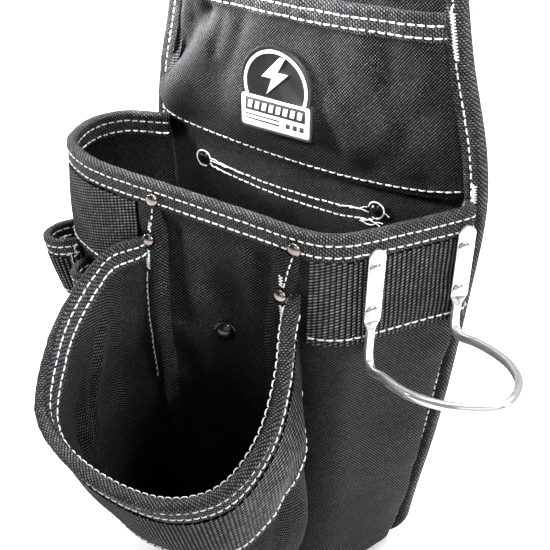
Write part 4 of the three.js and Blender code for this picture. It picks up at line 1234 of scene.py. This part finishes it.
def flat_shape(points, top, bottom=PLATE_TOP, bevel=0.25):
    p = np.array(points, float)
    c = p.mean(0)
    inner = c + (p - c) * (1 - bevel / np.maximum(np.linalg.norm(p - c, axis=1, keepdims=True), 1))
    return [(p, bottom), (p, top - bevel * 0.6), (inner, top)]


def circle(r):
    arc = np.linspace(0, 2 * np.pi, 160, endpoint=False)
    return np.stack([r * np.cos(arc), BADGE_Z + r * np.sin(arc)], -1)


def ring_shape(outer, inner, top):
    mid = (outer + inner) / 2
    return [(outer, PLATE_TOP), (outer, top - 0.15), (outer * 0.85 + mid * 0.15, top),
            (inner * 0.85 + mid * 0.15, top), (inner, top - 0.15), (inner, PLATE_TOP)]


def rounded(w, h, r, cx, cz, n=8):
    """A rounded bar's outline."""
    out = []
    for sx, sz, start in ((1, -1, -90), (1, 1, 0), (-1, 1, 90), (-1, -1, 180)):
        for t in np.radians(np.linspace(start, start + 90, n)):
            out.append((cx + sx * (w / 2 - r) + r * math.cos(t), cz + sz * (h / 2 - r) + r * math.sin(t)))
    return out


o0, o1, o2, o3 = (badge_outline(i) for i in (0.0, 0.4, 1.1, 1.7))
moulded("badge_plate", [(o0, -0.6), (o0, 1.9), (o1, 2.4), (o2, 2.4), (o3, 1.9)], RUBBER, ["badge_base"])
moulded("badge_ring", ring_shape(circle(23.2), circle(21.2), 2.35), PRINT, ["badge_emblem"], band=True)
moulded("badge_bar", flat_shape(rounded(50, 20, 1.6, 0, BAR_Z), 2.5), PRINT)
moulded("badge_window", flat_shape(rounded(44, 8.4, 0.8, 0, 36), 2.72, 2.3, 0.12), FIELD)
for k in range(8):
    x = -18.2 + 5.2 * k
    block = [(x - 1.9, 33.6), (x + 1.1, 33.6), (x + 2.0, 38.4), (x - 1.0, 38.4)]
    moulded(f"badge_mark_{k + 1}", flat_shape(block, 2.95, 2.6, 0.1), PRINT)
for k, z in enumerate((29.2, 26.4)):
    moulded(f"badge_line_{k + 1}", flat_shape(rounded(26, 0.9, 0.3, -9.5, z, 3), 2.62, 2.4, 0.08), FIELD)
for k in range(3):
    dot = rounded(3.0, 3.2, 0.5, 9.6 + 5 * k, 27.4, 4)
    moulded(f"badge_dot_{k + 1}", flat_shape(dot, 2.62, 2.4, 0.08), FIELD)
bolt = np.array([(3.5, 69.5), (-9.5, 55.5), (-2.2, 55.5), (-6.2, 44.6), (9.4, 59.6), (1.6, 59.6),
                 (7.2, 69.5)])
bolt_top = bolt.mean(0) + (bolt - bolt.mean(0)) * 0.94
moulded("badge_bolt", [(bolt, PLATE_TOP), (bolt, 2.4), (bolt_top, 2.6)], PRINT, curve=0.0, angle=30)

# ---- belt tunnel -----------------------------
low, high = TUNNEL_Z - TUNNEL_PASSAGE / 2, TUNNEL_Z + TUNNEL_PASSAGE / 2
tunnel_y = COVER_FACE + GAP + 0.3  # where the strap lies on the panel
half_rise = [(tunnel_y, -TUNNEL_LIP), (tunnel_y, -3), (tunnel_y + 0.6, 0), (8, 5), (12.2, 8.5),
             (TUNNEL_PLATE, 13)]
rise = [(y, low + z) for y, z in half_rise] + [(TUNNEL_PLATE + 0.3, TUNNEL_Z)]
rise += [(y, high - z) for y, z in half_rise[::-1]]


def tunnel_surface(u, a):
    """The strap by x (as u) and by its own length from the bottom."""
    u, a = matched(u, a)
    line = catmull(rise, np.clip(a / STRAP_LENGTH, 0, 1))
    near = 1 - smooth(line[..., 0], tunnel_y + 1, TUNNEL_PLATE - 2)
    return np.stack([u, line[..., 0] + bow(u) * near, line[..., 1]], -1)


def strap():
    xs = np.linspace(TUNNEL_X - TUNNEL_WIDTH / 2, TUNNEL_X + TUNNEL_WIDTH / 2, 70)
    x, a = np.meshgrid(xs, np.linspace(0, STRAP_LENGTH, 90))
    p = tunnel_surface(x, a)
    n = unit(np.cross(tunnel_surface(x, a + 0.5) - tunnel_surface(x, a - 0.5),
                      tunnel_surface(x + 0.5, a) - tunnel_surface(x - 0.5, a)))
    soft = (0.25 * rumple(p, 40, 131))[..., None]
    cloth = np.stack([x, run_of(p[:, 0])[:, None] + 0 * x, 0 * x], -1)
    ply("belt_tunnel", p + n * (TUNNEL_THICK + soft), p + n * soft * 0.5, cloth, NYLON,
        ["belt_tunnel_strap"])


def tunnel_line(z):
    """A path straight across the strap's outer face."""
    x = TUNNEL_X + (TUNNEL_WIDTH / 2 - 4) * np.linspace(-1, 1, 200)
    return facing(np.stack([x, tunnel_y + TUNNEL_THICK + bow(x) + 0.1, 0 * x + z], -1), 1)


strap()
seam("seam_tunnel_outside", [tunnel_line(z) for z in (low - 14.5, low - 5, high + 5, high + 14.5)], 22)

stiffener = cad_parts["panel_stiffener"]
stiffener.data.materials.clear()
stiffener.data.materials.append(BOARD)

# ---- room ------------------------------------
TABLE_SIZE, TABLE_GAP, TABLE_GLOW, ROOM_LIGHT = 14, 0.0012, 0.3, 0.11
LENS, SENSOR, CAMERA_TILT, CAMERA_TURN = 73.31, 36, 59, 35
CAMERA_PLACE = (0.3645, -0.5462, 0.2701)

bpy.ops.mesh.primitive_plane_add(size=TABLE_SIZE, location=(0, 0, CAD_BOX[0][2] - TABLE_GAP))
ground = bpy.context.object
ground.name = "ground"
paint = Look("ground_paint")
paint.set(base=(0.9, 0.9, 0.9, 1), rough=0.9, glow=(1, 1, 1, 1), glow_strength=TABLE_GLOW)
ground.data.materials.append(paint.mat)

scene = bpy.context.scene
scene.world = bpy.data.worlds.new("room")
scene.world.use_nodes = True
background = scene.world.node_tree.nodes["Background"]
background.inputs[0].default_value = (1, 1, 1, 1)
background.inputs[1].default_value = ROOM_LIGHT

# place and aim, width and height in metres, power, beam in degrees; the last shows in reflections only
for name, place, aim, size, power, beam in (
        ("overhead", (-0.05, 0.62, 1.55), (0.0, 0.15, -0.1), (2.4, 1.8), 78, 180),
        ("right_strip", (1.3, 0.3, 0.8), (0.05, -0.05, -0.05), (0.5, 1.1), 12, 180),
        ("left_strip", (-1.25, 0.25, 0.75), (0.0, -0.05, -0.05), (0.5, 1.1), 16, 180),
        ("upper_left", (-0.70, -0.26, 0.20), (-0.055, -0.02, 0.050), (0.10, 0.10), 0.40, 19),
        ("upper_right", (0.30, -0.34, 0.62), (0.02, -0.02, 0.08), (0.10, 0.10), 0.22, 19),
        ("raking", (0.55, -0.19, 0.45), (-0.06, -0.125, -0.11), (0.08, 0.08), 0.095, 15),
        ("metal_card", (0.85, -1.15, 0.80), (0.0, 0.0, -0.1), (2.2, 1.3), 7, 180)):
    data = bpy.data.lights.new(name, "AREA")
    data.shape, data.size, data.size_y, data.energy = "RECTANGLE", *size, power
    data.spread = math.radians(beam)
    lamp = bpy.data.objects.new(name, data)
    scene.collection.objects.link(lamp)
    lamp.location = place
    lamp.rotation_euler = (Vector(aim) - Vector(place)).to_track_quat("-Z", "Y").to_euler()
    lamp.visible_diffuse = name != "metal_card"

camera_data = bpy.data.cameras.new("camera")
camera_data.lens, camera_data.sensor_width = LENS, SENSOR
camera_data.clip_start, camera_data.clip_end = 0.01, 50
camera = bpy.data.objects.new("camera", camera_data)
scene.collection.objects.link(camera)
camera.location = CAMERA_PLACE
camera.rotation_euler = (math.radians(CAMERA_TILT), 0, math.radians(CAMERA_TURN))
scene.camera = camera
scene.view_settings.view_transform = "Standard"
scene.view_settings.look = "Medium High Contrast"
